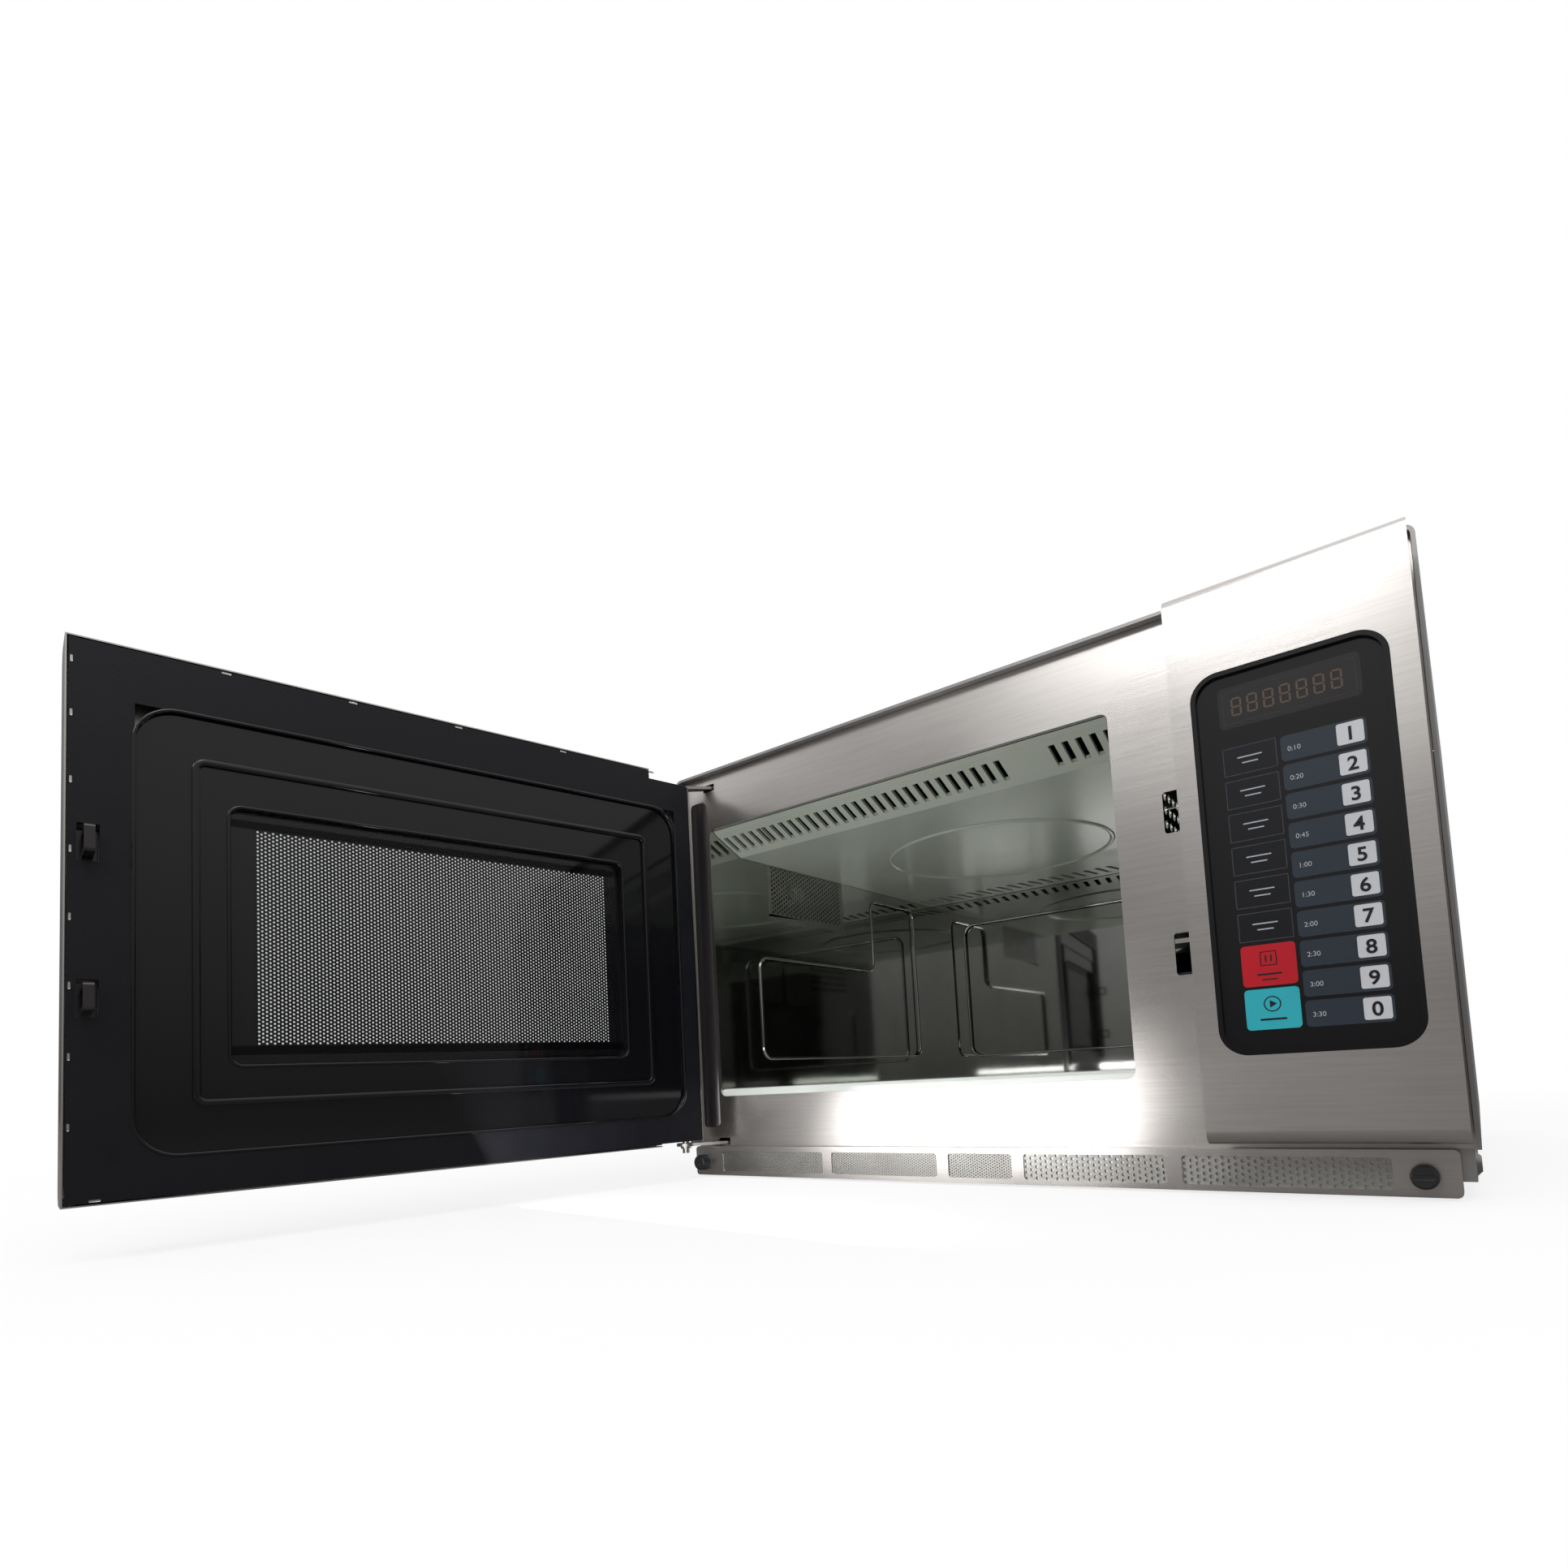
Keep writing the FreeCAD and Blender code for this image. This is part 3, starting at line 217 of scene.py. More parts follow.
STEEL = (0.57, 0.545, 0.525)
FINISH = {
    "brushed_front": brushed("brushed_front", STEEL, 0.27),
    "wrap_paint": paint("wrap_paint", (0.30, 0.295, 0.29), 0.42, 0.6, 0.02, 500),
    # bead_dark: near-black gloss. On the hinge-side bead pressed in the steel front plate this is painted
    # reflection of the dark open door. The latch strikes take this finish too.
    "bead_dark": paint("bead_dark", (0.055, 0.05, 0.052), 0.16, 0.6),
    "polished_steel": sheet_metal("polished_steel", (0.44, 0.45, 0.43), 0.045, 0.0015),
    "punched_steel": sheet_metal("punched_steel", (0.50, 0.50, 0.49), 0.34),
    "plain_steel": sheet_metal("plain_steel", (0.50, 0.50, 0.50), 0.38, 0.02),
    "zinc": sheet_metal("zinc", (0.30, 0.29, 0.28), 0.28, 0.01),
    "ceramic": paint("ceramic", (0.62, 0.65, 0.62), 0.12, 0.0, 0.004, 300, Coat_Weight=0.4),
    "silicone": paint("silicone", (0.62, 0.63, 0.60), 0.6),
    "rubber_foot": paint("rubber_foot", (0.02, 0.02, 0.021), 0.75, 0.0, 0.05, 1500),
    "shield_plastic": paint("shield_plastic", (0.50, 0.54, 0.47), 0.22, 0.0, 0.01, 400,
                            Subsurface_Weight=0.15, Subsurface_Scale=0.002),
    "aluminium": sheet_metal("aluminium", (0.72, 0.72, 0.73), 0.30, 0.02),
    "black_plastic": paint("black_plastic", (0.018, 0.018, 0.02), 0.45, 0.0, 0.03, 1400),
    "gloss_black": paint("gloss_black", (0.0045, 0.0045, 0.006), 0.07, 0.0, 0.0015, 60),
    "trim_black": leathery("trim_black", (0.0035, 0.0038, 0.0068), 0.45, 0.8, 0.03),
    "white_plastic": paint("white_plastic", (0.72, 0.72, 0.69), 0.45),
    "clear_glass": glass("clear_glass", (0.01, 0.01, 0.011), 0.12),
    "smoked_glass": glass("smoked_glass", (0.01, 0.01, 0.011), 0.16),
    "iron": paint("iron", (0.05, 0.05, 0.055), 0.6, 0.7, 0.05, 900),
    "winding": paint("winding", (0.45, 0.16, 0.05), 0.35, 0.7, 0.1, 700),
    "magnet": paint("magnet", (0.03, 0.03, 0.032), 0.6),
    "board": paint("board", (0.02, 0.09, 0.04), 0.4),
    "warm_glass": glass("warm_glass", (0.9, 0.55, 0.22), 0.6),
    "spring_steel": sheet_metal("spring_steel", (0.45, 0.45, 0.45), 0.3),
    "filter_grey": sheet_metal("filter_grey", (0.40, 0.39, 0.37), 0.42, 0.02),
}
for entry in frame["record"]["subparts"]:
    for holder in frame["nodes"][entry["node"]].material_slots:
        holder.material = FINISH[entry["material_slot"]]
# The latch strikes take the near-black bead finish. The latch springs, seen only through the case's slots,
# take the near-black magnet finish: painted shade from inside the case.
for node, finish in (("latch_strikes", "bead_dark"), ("latch_springs", "magnet")):
    for holder in frame["nodes"][node].material_slots:
        holder.material = FINISH[finish]


# ---------------------------------------------------------------- mesh helpers

def outline(corners, radius, inset=0.0, steps=6):
    """A right-angled outline, anticlockwise, with rounded corners, moved in by inset."""
    loop = []
    count = len(corners)
    for index in range(count):
        here = Vector(corners[index])
        way_in = (here - Vector(corners[index - 1])).normalized()
        way_out = (Vector(corners[(index + 1) % count]) - here).normalized()
        turn = 1 if way_in.x * way_out.y - way_in.y * way_out.x > 0 else -1
        side_in = Vector((-way_in.y, way_in.x))
        side_out = Vector((-way_out.y, way_out.x))
        bend = max(radius - inset * turn, 0.2)
        middle = here + (inset + turn * bend) * (side_in + side_out)
        for step in range(steps + 1):
            angle = math.pi / 2 * step / steps
            spoke = side_in * math.cos(angle) + side_out * math.sin(angle)
            loop.append(middle - turn * bend * spoke)
    return loop


def box_corners(left, low, right, high):
    return [(left, low), (right, low), (right, high), (left, high)]


def on_xz(loop, y):
    """A flat outline stood up as x and z, at a y."""
    return [(point[0], y, point[1]) for point in loop]


def on_yz(loop, x):
    return [(x, point[0], point[1]) for point in loop]


def on_xy(loop, z):
    return [(point[0], point[1], z) for point in loop]


class Shape:
    """A mesh in the making, in millimetres."""

    def __init__(self):
        self.mesh = bmesh.new()

    def ring(self, points):
        return [self.mesh.verts.new(Vector(point) * MM) for point in points]

    def bridge(self, first, second, closed=True):
        """Quads between two rings of the same length."""
        count = len(first)
        for index in range(count if closed else count - 1):
            after = (index + 1) % count
            self.mesh.faces.new((first[index], first[after], second[after], second[index]))

    def stack(self, rings, start_cap=False, end_cap=False):
        """A skin over a row of rings, given as points."""
        made = [self.ring(points) for points in rings]
        for first, second in zip(made, made[1:]):
            self.bridge(first, second)
        if start_cap:
            self.mesh.faces.new(list(reversed(made[0])))
        if end_cap:
            self.mesh.faces.new(made[-1])
        return made

    def slab(self, loop, put, near, far, bevel=0.0):
        """A plate with an outline, from one level to another, its near edge eased by bevel."""
        away = 1 if far > near else -1
        rings = []
        if bevel:
            for part in (1.0, 0.62, 0.29, 0.08, 0.0):
                drop = bevel * (1 - math.sqrt(max(0.0, 1 - part * part)))
                rings.append(put(loop(bevel * part), near + away * drop))
        else:
            rings.append(put(loop(0), near))
        rings.append(put(loop(0), far))
        self.stack(rings, True, True)

    def lathe(self, profile, place, steps=40, start_cap=True, end_cap=True):
        """A turned form: the profile is (radius, height) along place's z axis."""
        rings = []
        for radius, height in profile:
            rings.append([place @ Vector((radius * math.cos(2 * math.pi * step / steps),
                                          radius * math.sin(2 * math.pi * step / steps), height))
                          for step in range(steps)])
        self.stack(rings, start_cap, end_cap)

    def done(self, name, finish, body, place=CASE, crease=35, replaces=()):
        """Makes the object, gives it its finish and lets it ride on a body."""
        bmesh.ops.remove_doubles(self.mesh, verts=self.mesh.verts, dist=1e-6)
        bmesh.ops.recalc_face_normals(self.mesh, faces=self.mesh.faces)
        data = bpy.data.meshes.new(name)
        self.mesh.to_mesh(data)
        self.mesh.free()
        data.shade_smooth()
        data.set_sharp_from_angle(angle=math.radians(crease))
        data.materials.append(FINISH.get(finish) or EXTRA[finish])
        piece = bpy.data.objects.new(name, data)
        bpy.context.scene.collection.objects.link(piece)
        piece.matrix_world = place
        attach(piece, body)
        if replaces:
            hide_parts(*replaces)
        return piece


def rect_loop(left, low, right, high, radius, steps=6):
    """A function of inset that gives a rounded rectangle."""
    return lambda inset: outline(box_corners(left, low, right, high), radius, inset, steps)


# ---------------------------------------------------------------- extra finishes

EXTRA = {
    "key_slate": paint("key_slate", (0.028, 0.038, 0.052), 0.09, 0.0, 0.0015, 60),
    "key_black": paint("key_black", (0.006, 0.0065, 0.009), 0.09, 0.0, 0.0015, 60),
    "key_white": paint("key_white", (0.62, 0.63, 0.66), 0.12, 0.0, 0.0015, 60),
    "key_red": paint("key_red", (0.50, 0.012, 0.022), 0.10, 0.0, 0.0015, 60),
    "key_teal": paint("key_teal", (0.035, 0.42, 0.50), 0.10, 0.0, 0.0015, 60),
    "print_dark": paint("print_dark", (0.012, 0.014, 0.020), 0.12, 0.0, 0.0015, 60),
    "print_line": paint("print_line", (0.060, 0.068, 0.085), 0.12, 0.0, 0.0015, 60),
    "print_pale": paint("print_pale", (0.42, 0.44, 0.48), 0.12, 0.0, 0.0015, 60),
    "display_glass": paint("display_glass", (0.020, 0.018, 0.018), 0.10, 0.0, 0.0015, 60),
    "segment_off": paint("segment_off", (0.10, 0.065, 0.045), 0.2, 0.0, 0.0015, 60),
    "edge_steel": sheet_metal("edge_steel", (0.66, 0.66, 0.65), 0.16),
}
EXTRA_SLOT = {name: "gloss_black" for name in EXTRA}
EXTRA_SLOT["edge_steel"] = "zinc"


# ---------------------------------------------------------------- control panel face

glass_low, glass_high = case_box("key_overlay")
FACE = glass_low.y


def stamp(name, finish, loops, thick=0.12, over=0.0):
    """Flat coloured areas on the key overlay, each an outline function in x and z."""
    shape = Shape()
    for loop in loops:
        shape.slab(loop, on_xz, FACE - over - thick, FACE - over + 0.02, 0.03)
    shape.done(name, finish, "case", crease=50)


def bars(left, low, right, high):
    return rect_loop(left, low, right, high, 0.3, 2)


def frame_of(left, low, right, high, line):
    """Four thin bars round a rectangle."""
    return [bars(left, low, right, low + line), bars(left, high - line, right, high),
            bars(left, low + line, left + line, high - line),
            bars(right - line, low + line, right, high - line)]


def numerals(name, finish, marks, over, weight):
    """Figures raised a little from the overlay: (text, middle x, middle z, height)."""
    shape = Shape()
    for text, x, z, height in marks:
        curve = bpy.data.curves.new("figure", "FONT")
        curve.body = text
        curve.size = height * 1.38
        curve.align_x = "CENTER"
        curve.extrude = 0.04
        curve.offset = height * weight
        holder = bpy.data.objects.new("figure", curve)
        mesh = holder.to_mesh()
        turn = Matrix.Translation((x, FACE - over, z - height / 2)) @ Matrix.Rotation(math.pi / 2, 4, "X")
        mesh.transform(Matrix.Scale(MM, 4) @ turn)
        shape.mesh.from_mesh(mesh)
        holder.to_mesh_clear()
        bpy.data.objects.remove(holder)
        bpy.data.curves.remove(curve)
    shape.done(name, finish, "case", crease=40)


KEY_TOP = 254.3
KEY_PITCH = 16.23
KEY_HEIGHT = 14.2
KEY_LEFT = 211.2
KEY_RIGHT = 251
LEFT_KEY_TOP = 254.8
LEFT_KEY_PITCH = 19.04
LEFT_KEY_HEIGHT = 16.2
LEFT_KEY_LEFT = 182.2
LEFT_KEY_RIGHT = 209.2
KEY_RADIUS = 2.2
PRINT_LEVEL = 0.12
MARK_LEVEL = 0.13
rows = [KEY_TOP - KEY_PITCH * index for index in range(10)]
stamp("number_keys", "key_slate",
      [rect_loop(KEY_LEFT, top - KEY_HEIGHT, KEY_RIGHT, top, KEY_RADIUS) for top in rows])
stamp("number_squares", "key_white",
      [rect_loop(237.4, top - 12.7, 249.7, top - 1.1, 1.2) for top in rows], 0.1, PRINT_LEVEL)
numerals("number_figures", "print_dark",
         [(figure, 243.5, top - 6.9, 7.4) for figure, top in zip("1234567890", rows)], 0.27, 0.03)
numerals("number_times", "print_pale",
         [(text, 217.5, top - 7.6, 2.7) for text, top in
          zip(("0:10", "0:20", "0:30", "0:45", "1:00", "1:30", "2:00", "2:30", "3:00", "3:30"), rows)],
         0.17, 0.0)
left_rows = [LEFT_KEY_TOP - LEFT_KEY_PITCH * index for index in range(6)]
left_boxes = [(LEFT_KEY_LEFT, top - LEFT_KEY_HEIGHT, LEFT_KEY_RIGHT, top) for top in left_rows]
stamp("left_keys", "key_black", [rect_loop(*box, KEY_RADIUS) for box in left_boxes])
stamp("left_outlines", "print_line",
      [bar for box in left_boxes for bar in frame_of(*box, 0.5)], 0.08, PRINT_LEVEL)
stamp("left_marks", "print_pale",
      [bar for top in left_rows for bar in
       (bars(189.4, top - 6.9, 202, top - 6.2), bars(191.6, top - 10.2, 199.8, top - 9.5))],
      0.05, MARK_LEVEL)
stamp("stop_key", "key_red", [rect_loop(LEFT_KEY_LEFT, 118.3, LEFT_KEY_RIGHT, 141.3, KEY_RADIUS)])
stamp("stop_mark", "print_dark",
      [bars(194, 131.4, 194.8, 135.4), bars(196.6, 131.4, 197.4, 135.4), bars(189.6, 124.2, 201.8, 125.2),
       bars(191.8, 121.4, 199.6, 122.1)] + frame_of(191.6, 129.4, 199.8, 137.4, 0.5), 0.05, MARK_LEVEL)
stamp("start_key", "key_teal", [rect_loop(LEFT_KEY_LEFT, 94.2, LEFT_KEY_RIGHT, 116.7, KEY_RADIUS)])


def start_mark():
    """A circle with a triangle in it, pointing right."""
    shape = Shape()
    x, z = 195.7, 108.2
    front, back = FACE - 0.18, FACE - 0.1
    spokes = [(math.cos(math.pi * step / 20), math.sin(math.pi * step / 20)) for step in range(40)]

    def circle(radius, level):
        return on_xz([(x + radius * across, z + radius * up) for across, up in spokes], level)

    loops = shape.stack([circle(3.7, back), circle(3.7, front), circle(4.3, front), circle(4.3, back)])
    shape.bridge(loops[3], loops[0])
    triangle = [(x - 1.2, z - 2), (x + 2.3, z), (x - 1.2, z + 2)]
    shape.stack([on_xz(triangle, front), on_xz(triangle, back)], True, True)
    shape.done("start_mark", "print_dark", "case", crease=50)


start_mark()
stamp("start_bar", "print_dark", [bars(189.2, 99.2, 202.2, 100.3)], 0.05, MARK_LEVEL)
stamp("display_window", "display_glass", [rect_loop(182, 266, 251, 290, 3)], 0.08)
stamp("display_edge", "print_line", frame_of(184.2, 268.4, 248.8, 287.4, 0.45), 0.06, 0.08)


def segments(x, z, wide, tall, line):
    """The seven bars of one figure, lower left corner at x, z."""
    half = tall / 2
    made = []
    for level in (0, half - line / 2, tall - line):
        made.append(bars(x + line * 0.9, z + level, x + wide - line * 0.9, z + level + line))
    for side in (0, wide - line):
        for level in (line * 0.6, half + line * 0.3):
            made.append(bars(x + side, z + level, x + side + line, z + level + half - line * 1.1))
    return made


stamp("display_segments", "segment_off",
      [bar for index in range(7) for bar in segments(188.6 + index * 8.1, 272.6, 5.4, 10.6, 0.95)],
      0.05, 0.08)


# ---------------------------------------------------------------- perforated sheets

HOLE = [(math.sin(math.pi / 3 * part), math.cos(math.pi / 3 * part)) for part in range(6)]


def hole_cell(shape, put, box, levels, radius):
    """A rectangle of sheet with a six-sided hole in its middle, both skins and the hole's wall."""
    middle = ((box[0] + box[2]) / 2, (box[1] + box[3]) / 2)
    loop = [(middle[0] + radius * across, middle[1] + radius * up) for across, up in HOLE]
    rims = []
    for level in levels:
        low_left, low_right, high_right, high_left = shape.ring(put(box_corners(*box), level))
        rim = shape.ring(put(loop, level))
        shape.mesh.faces.new((low_right, high_right, rim[0], rim[1], rim[2], rim[3]))
        shape.mesh.faces.new((high_right, high_left, rim[0]))
        shape.mesh.faces.new((high_left, low_left, rim[3], rim[4], rim[5], rim[0]))
        shape.mesh.faces.new((low_left, low_right, rim[3]))
        rims.append(rim)
    shape.bridge(*rims)


def plain_cell(shape, put, box, levels):
    for level in levels:
        shape.mesh.faces.new(shape.ring(put(box_corners(*box), level)))


def perforated(name, finish, body, place, put, area, holes, pitch, radius, levels, replaces=()):
    """A sheet with staggered round holes: area and holes are left, low, right, high."""
    shape = Shape()
    left, low, right, high = holes
    columns = round((right - left) / (pitch * 0.866))
    rows = round((high - low) / pitch)
    wide = (right - left) / columns
    tall = (high - low) / rows
    for column in range(columns):
        near, far = left + wide * column, left + wide * (column + 1)
        start = low
        count = rows
        if column % 2:
            plain_cell(shape, put, (near, low, far, low + tall / 2), levels)
            plain_cell(shape, put, (near, high - tall / 2, far, high), levels)
            start = low + tall / 2
            count = rows - 1
        for row in range(count):
            hole_cell(shape, put, (near, start + tall * row, far, start + tall * (row + 1)), levels, radius)
    plain_cell(shape, put, (area[0], area[1], area[2], low), levels)
    plain_cell(shape, put, (area[0], high, area[2], area[3]), levels)
    plain_cell(shape, put, (area[0], low, left, high), levels)
    plain_cell(shape, put, (right, low, area[2], high), levels)
    shape.bridge(*(shape.ring(put(box_corners(*area), level)) for level in levels))
    return shape.done(name, finish, body, place, crease=30, replaces=replaces)


screen_low, screen_high = door_span("door_screen")
perforated("door_screen_sheet", "gloss_black", "door", DOOR, on_xz,
           (screen_low.x, screen_low.z, screen_high.x, screen_high.z), (74.5, 118.8, 328.6, 256.1),
           2.5, 0.72, (screen_high.y - 0.1, screen_low.y + 0.1), ("door_screen",))

vent_low, vent_high = case_box("lamp_vent")
perforated("lamp_vent_sheet", "punched_steel", "case", CASE, on_yz,
           (vent_low.y, vent_low.z, vent_high.y, vent_high.z),
           (vent_low.y + 5, vent_low.z + 5, vent_high.y - 5, vent_high.z - 5),
           4.3, 1.5, (vent_high.x, vent_low.x), ("lamp_vent",))

mesh_low, mesh_high = case_box("filter_mesh")


STRIP_WINDOWS = ((-241.4, -134.3), (-125.6, -32.4), (-23.1, 25.2), (33.9, 126.3), (135.2, 241.0))


def strip_windows():
    """The filter strip's five windows: fine mesh in three, coarse holes in the two to the right."""
    for index, (left, right) in enumerate(STRIP_WINDOWS):
        area = (left - 2, mesh_low.z, right + 2, mesh_high.z)
        inner = (left, mesh_low.z + 1, right, mesh_high.z - 1)
        pitch, radius = (1.9, 0.55) if index < 3 else (4.1, 1.25)
        perforated(f"strip_mesh_{index + 1}", "filter_grey", "case", CASE, on_xz, area, inner, pitch,
                   radius, (mesh_low.y, mesh_high.y), ("filter_mesh",) if index == 0 else ())


strip_windows()


# ---------------------------------------------------------------- door trim tabs

def tabs():
    """Short bright steel returns that show along the edges of the plastic cover."""
    shape = Shape()
    skin_low, skin_high = door_span("inner_trim")
    face = skin_high.y
    for x in (33.7, 116.4, 200, 272, 345.4):
        shape.slab(rect_loop(x - 2.6, skin_high.z - 1.7, x + 2.6, skin_high.z - 0.5, 0.4, 3), on_xz,
                   face + 0.35, face - 0.6, 0.25)
    for z in (74.6, 113.1, 152.5, 191, 229.4, 268.9, 307.5, 339):
        shape.slab(rect_loop(skin_high.x - 1.9, z - 2, skin_high.x - 0.7, z + 2, 0.4, 3), on_xz,
                   face + 0.35, face - 0.6, 0.25)
    shape.slab(rect_loop(406, skin_low.z + 0.5, 411.2, skin_low.z + 1.7, 0.4, 3), on_xz,
               face + 0.35, face - 0.6, 0.25)
    shape.done("trim_tabs", "edge_steel", "door", DOOR, crease=40)


tabs()


# ---------------------------------------------------------------- thumb screws

def thumb_screw(name, node, body):
    """A knurled round head with a raised finger bar across it."""
    low, high = case_box(node)
    middle = (low + high) / 2
    place = CASE @ Matrix.Translation(Vector((middle.x, low.y, middle.z)) * MM) @ Matrix.Rotation(
        math.pi / 2, 4, "X")
    shape = Shape()
    radius = (high.x - low.x) / 2
    depth = high.y - low.y
    steps = 96
    rings = []
    for wide, level, knurl in ((radius - 1.2, -0.2, 0), (radius - 0.5, -0.6, 0.4), (radius, -1.6, 1),
                               (radius, -depth + 1.0, 1), (radius - 0.4, -depth + 0.4, 0.4)):
        rings.append([((wide - 0.35 * knurl * (step % 2)) * math.cos(2 * math.pi * step / steps),
                       (wide - 0.35 * knurl * (step % 2)) * math.sin(2 * math.pi * step / steps), level)
                      for step in range(steps)])
    shape.stack(rings, True, True)
    bar = rect_loop(-radius + 1.6, -1.3, radius - 1.6, 1.3, 1.2)
    shape.slab(bar, on_xy, 0.0, -0.8, 0.5)
    return shape.done(name, "black_plastic", body, place, crease=30, replaces=(node,))


thumb_screw("left_screw_head", "left_thumb_screw", "left_screw")
thumb_screw("right_screw_head", "right_thumb_screw", "right_screw")


# ---------------------------------------------------------------- pressed lines in the oven walls

def press_line(name, corners, radius, put, level, rise, width=2.6, finish="polished_steel",
               body="case", place=CASE):
    """The rounded step round a pressed field, as a low rib that follows its edge."""
    shape = Shape()
    rings = []
    for step in range(9):
        turn = math.pi * step / 8
        rings.append(put(outline(corners, radius, -width / 2 * math.cos(turn), 8),
                         level + rise * math.sin(turn)))
    rings.append(put(outline(corners, radius, width / 2, 8), level - 0.3 * rise))
    rings.append(put(outline(corners, radius, -width / 2, 8), level - 0.3 * rise))
    made = shape.stack(rings)
    shape.bridge(made[-1], made[0])
    shape.done(name, finish, body, place, crease=60)


# The ribs start at the shield's and the floor's edges, just inside the left and back walls.
near_left_wall = case_box("splatter_shield")[0].x
near_back_wall = case_box("ceramic_shelf")[1].y
L_FIELD = [(62, 102.3), (359, 102.3), (359, 279.5), (264, 279.5), (264, 198.8), (62, 198.8)]
press_line("left_wall_press", L_FIELD, 11, on_yz, near_left_wall, 1.1)
press_line("back_wall_press", box_corners(-203.4, 99.4, 67.4, 260.2), 13, on_xz, near_back_wall,
           -1.1)

# The glossy cover's raised edges: its rim in the trim, the crown of its rib and the window's lip.
trim_face = door_span("inner_trim")[1].y
cover_low, cover_high = door_span("choke_cover")
RIM_GAP = 0.9
press_line("cover_rim",
           box_corners(cover_low.x - RIM_GAP, cover_low.z - RIM_GAP, cover_high.x + RIM_GAP,
                       cover_high.z + RIM_GAP),
           22.5, on_xz, trim_face - 0.1, 0.7, 2.2, "gloss_black", "door", DOOR)
press_line("cover_rib_crown", box_corners(42.8, 84.7, 361.2, 292.1), 5.5, on_xz, cover_high.y, 0.6, 4.0,
           "gloss_black", "door", DOOR)
pane_low, pane_high = door_span("inner_pane")
LIP_GAP = 1.4
press_line("window_lip_crown",
           box_corners(pane_low.x - LIP_GAP, pane_low.z - LIP_GAP, pane_high.x + LIP_GAP,
                       pane_high.z + LIP_GAP),
           7.5, on_xz, cover_high.y - 1.3, 0.5, 2.0, "gloss_black", "door", DOOR)


# ---------------------------------------------------------------- shield ring

def shield_ring():
    """The shallow round step moulded in the splatter shield."""
    low, high = case_box("splatter_shield")
    shape = Shape()
    steps = 96
    level = low.z
    profile = ((101.6, 0.05), (102.2, -0.9), (103.3, -1.5), (104.7, -1.5), (105.8, -0.9), (106.4, 0.05))
    rings = [[(-66 + wide * math.cos(2 * math.pi * step / steps),
               216 + wide * math.sin(2 * math.pi * step / steps), level + drop)
              for step in range(steps)] for wide, drop in profile]
    made = shape.stack(rings)
    shape.bridge(made[-1], made[0])
    shape.done("shield_ring", "shield_plastic", "case", crease=60)


shield_ring()


# ---------------------------------------------------------------- stage, light and camera

def floor_finish():
    """Near white to the camera, fading to white far off, and dimmer to every other ray."""
    nodes = Nodes("floor_white", (0.90, 0.90, 0.90), 0.0, 0.9, Specular_IOR_Level=0.0)
    tree = nodes.tree
    length = tree.nodes.new("ShaderNodeVectorMath")
    length.operation = "LENGTH"
    tree.links.new(nodes.place, length.inputs[0])
    far = nodes.spread(length.outputs["Value"], 0.80, 1.0, 0.5, 1.6)
    glow = tree.nodes.new("ShaderNodeEmission")
    glow.inputs["Color"].default_value = (1, 1, 1, 1)
    near_mix = tree.nodes.new("ShaderNodeMixShader")
    tree.links.new(far, near_mix.inputs["Fac"])
    tree.links.new(nodes.shader.outputs["BSDF"], near_mix.inputs[1])
    tree.links.new(glow.outputs["Emission"], near_mix.inputs[2])
    dim = tree.nodes.new("ShaderNodeBsdfDiffuse")
    dim.inputs["Color"].default_value = (0.22, 0.21, 0.205, 1)
    path = tree.nodes.new("ShaderNodeLightPath")
    mix = tree.nodes.new("ShaderNodeMixShader")
    tree.links.new(path.outputs["Is Camera Ray"], mix.inputs["Fac"])
    tree.links.new(dim.outputs["BSDF"], mix.inputs[1])
    tree.links.new(near_mix.outputs["Shader"], mix.inputs[2])
    tree.links.new(mix.outputs["Shader"], tree.nodes["Material Output"].inputs["Surface"])
    return nodes.material


def stage():
    floor_mesh = bmesh.new()
    reach = 40.0
    corners = [floor_mesh.verts.new(point) for point in
               ((-reach, -reach, 0), (reach, -reach, 0), (reach, reach, 0), (-reach, reach, 0))]
    floor_mesh.faces.new(corners)
    data = bpy.data.meshes.new("floor")
    floor_mesh.to_mesh(data)
    floor_mesh.free()
    floor = bpy.data.objects.new("floor", data)
    data.materials.append(floor_finish())
    bpy.context.scene.collection.objects.link(floor)


def softbox(name, place, target, width, height, power):
    data = bpy.data.lights.new(name, "AREA")
    data.shape = "RECTANGLE"
    data.size = width
    data.size_y = height
    data.energy = power
    lamp = bpy.data.objects.new(name, data)
    bpy.context.scene.collection.objects.link(lamp)
    lamp.location = place
    lamp.rotation_euler = (Vector(target) - Vector(place)).to_track_quat("-Z", "Y").to_euler()
    return lamp


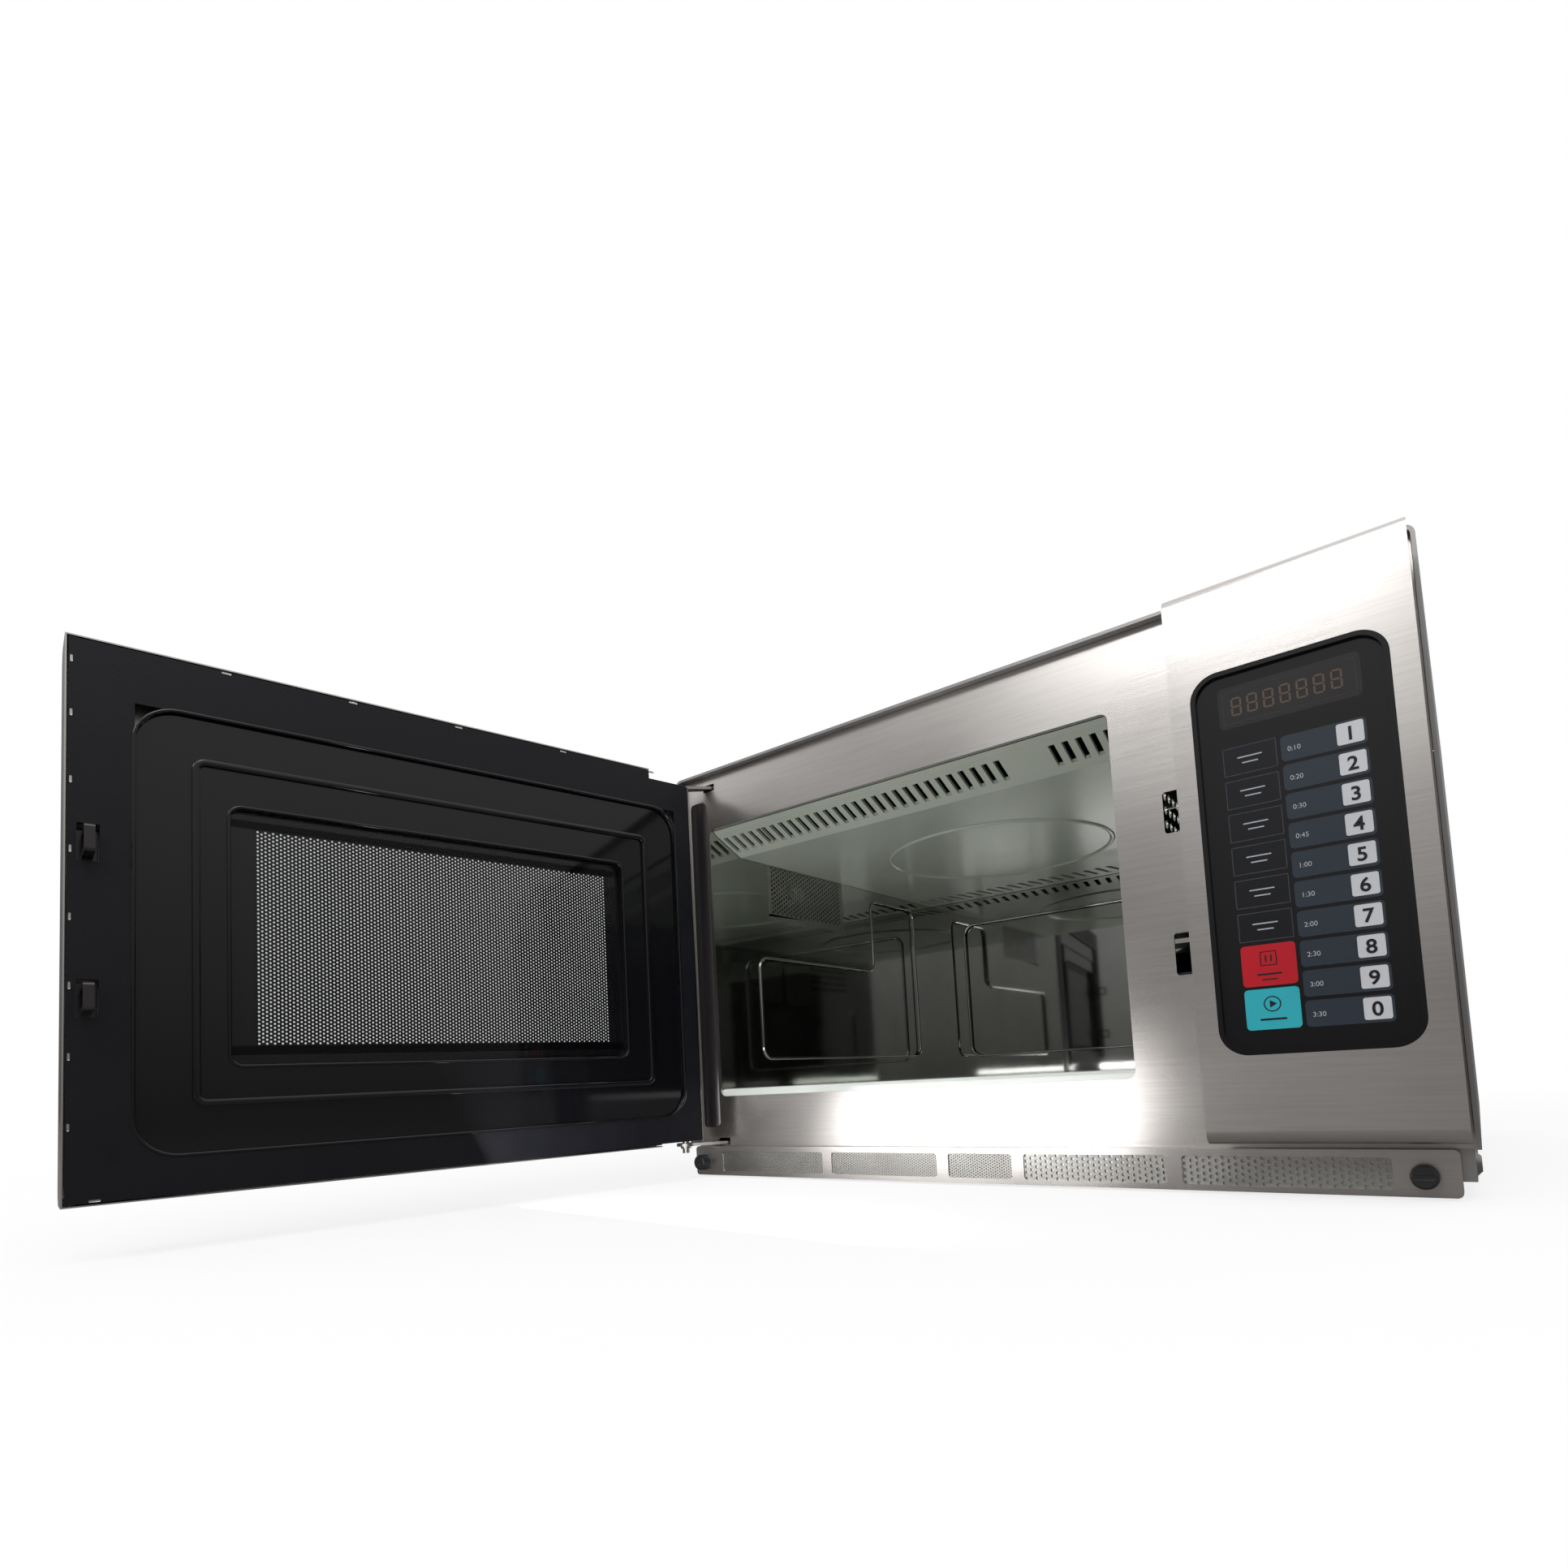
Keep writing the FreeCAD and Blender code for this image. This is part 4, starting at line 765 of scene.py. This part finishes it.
def world():
    """White to the eye, and for the light a bright sky over a dimmer horizon."""
    sky = bpy.data.worlds.new("studio")
    sky.use_nodes = True
    bpy.context.scene.world = sky
    tree = sky.node_tree
    background = tree.nodes["Background"]
    direction = tree.nodes.new("ShaderNodeTexCoord").outputs["Generated"]
    split = tree.nodes.new("ShaderNodeSeparateXYZ")
    tree.links.new(direction, split.inputs["Vector"])
    ramp = tree.nodes.new("ShaderNodeValToRGB")
    ramp.color_ramp.elements[0].position = 0.0
    ramp.color_ramp.elements[0].color = (0.17, 0.165, 0.16, 1)
    ramp.color_ramp.elements[1].position = 0.75
    ramp.color_ramp.elements[1].color = (1.05, 1.05, 1.05, 1)
    tree.links.new(split.outputs["Z"], ramp.inputs["Fac"])
    side = tree.nodes.new("ShaderNodeMapRange")
    side.inputs["From Min"].default_value = -0.75
    side.inputs["From Max"].default_value = -0.10
    side.inputs["To Min"].default_value = 0.35
    side.inputs["To Max"].default_value = 1.0
    tree.links.new(split.outputs["X"], side.inputs["Value"])
    tree.links.new(side.outputs["Result"], background.inputs["Strength"])
    seen = tree.nodes.new("ShaderNodeBackground")
    seen.inputs["Color"].default_value = (1, 1, 1, 1)
    path = tree.nodes.new("ShaderNodeLightPath")
    mix = tree.nodes.new("ShaderNodeMixShader")
    tree.links.new(ramp.outputs["Color"], background.inputs["Color"])
    tree.links.new(path.outputs["Is Camera Ray"], mix.inputs["Fac"])
    tree.links.new(background.outputs["Background"], mix.inputs[1])
    tree.links.new(seen.outputs["Background"], mix.inputs[2])
    tree.links.new(mix.outputs["Shader"], tree.nodes["World Output"].inputs["Surface"])


def camera():
    data = bpy.data.cameras.new("camera")
    data.sensor_width = 36
    data.lens = 20.168
    data.shift_x = -0.00193
    data.shift_y = 0.14961
    eye = bpy.data.objects.new("camera", data)
    bpy.context.scene.collection.objects.link(eye)
    eye.location = CASE @ (Vector((281.5, -576.87, 78.69)) * MM)
    eye.rotation_euler = [math.radians(angle) for angle in (94.18, 2.966, 38.156)]
    data.clip_start = 0.01
    bpy.context.scene.camera = eye


stage()
world()
camera()
softbox("key_light", (0.9, -0.9, 1.9), (0.30, 0.05, 0.25), 1.2, 1.0, 9)
softbox("front_light", (-0.05, -2.6, 2.15), (0.40, 0.0, 0.25), 1.1, 0.9, 24)
softbox("cavity_light", (0.12, -0.26, 0.03), (0.17, 0.30, 0.30), 0.30, 0.12, 0.6)
softbox("door_light", (-1.6, -1.2, 1.4), (-0.1, -0.3, 0.2), 0.7, 0.5, 4)
bpy.context.scene.view_settings.view_transform = "Standard"
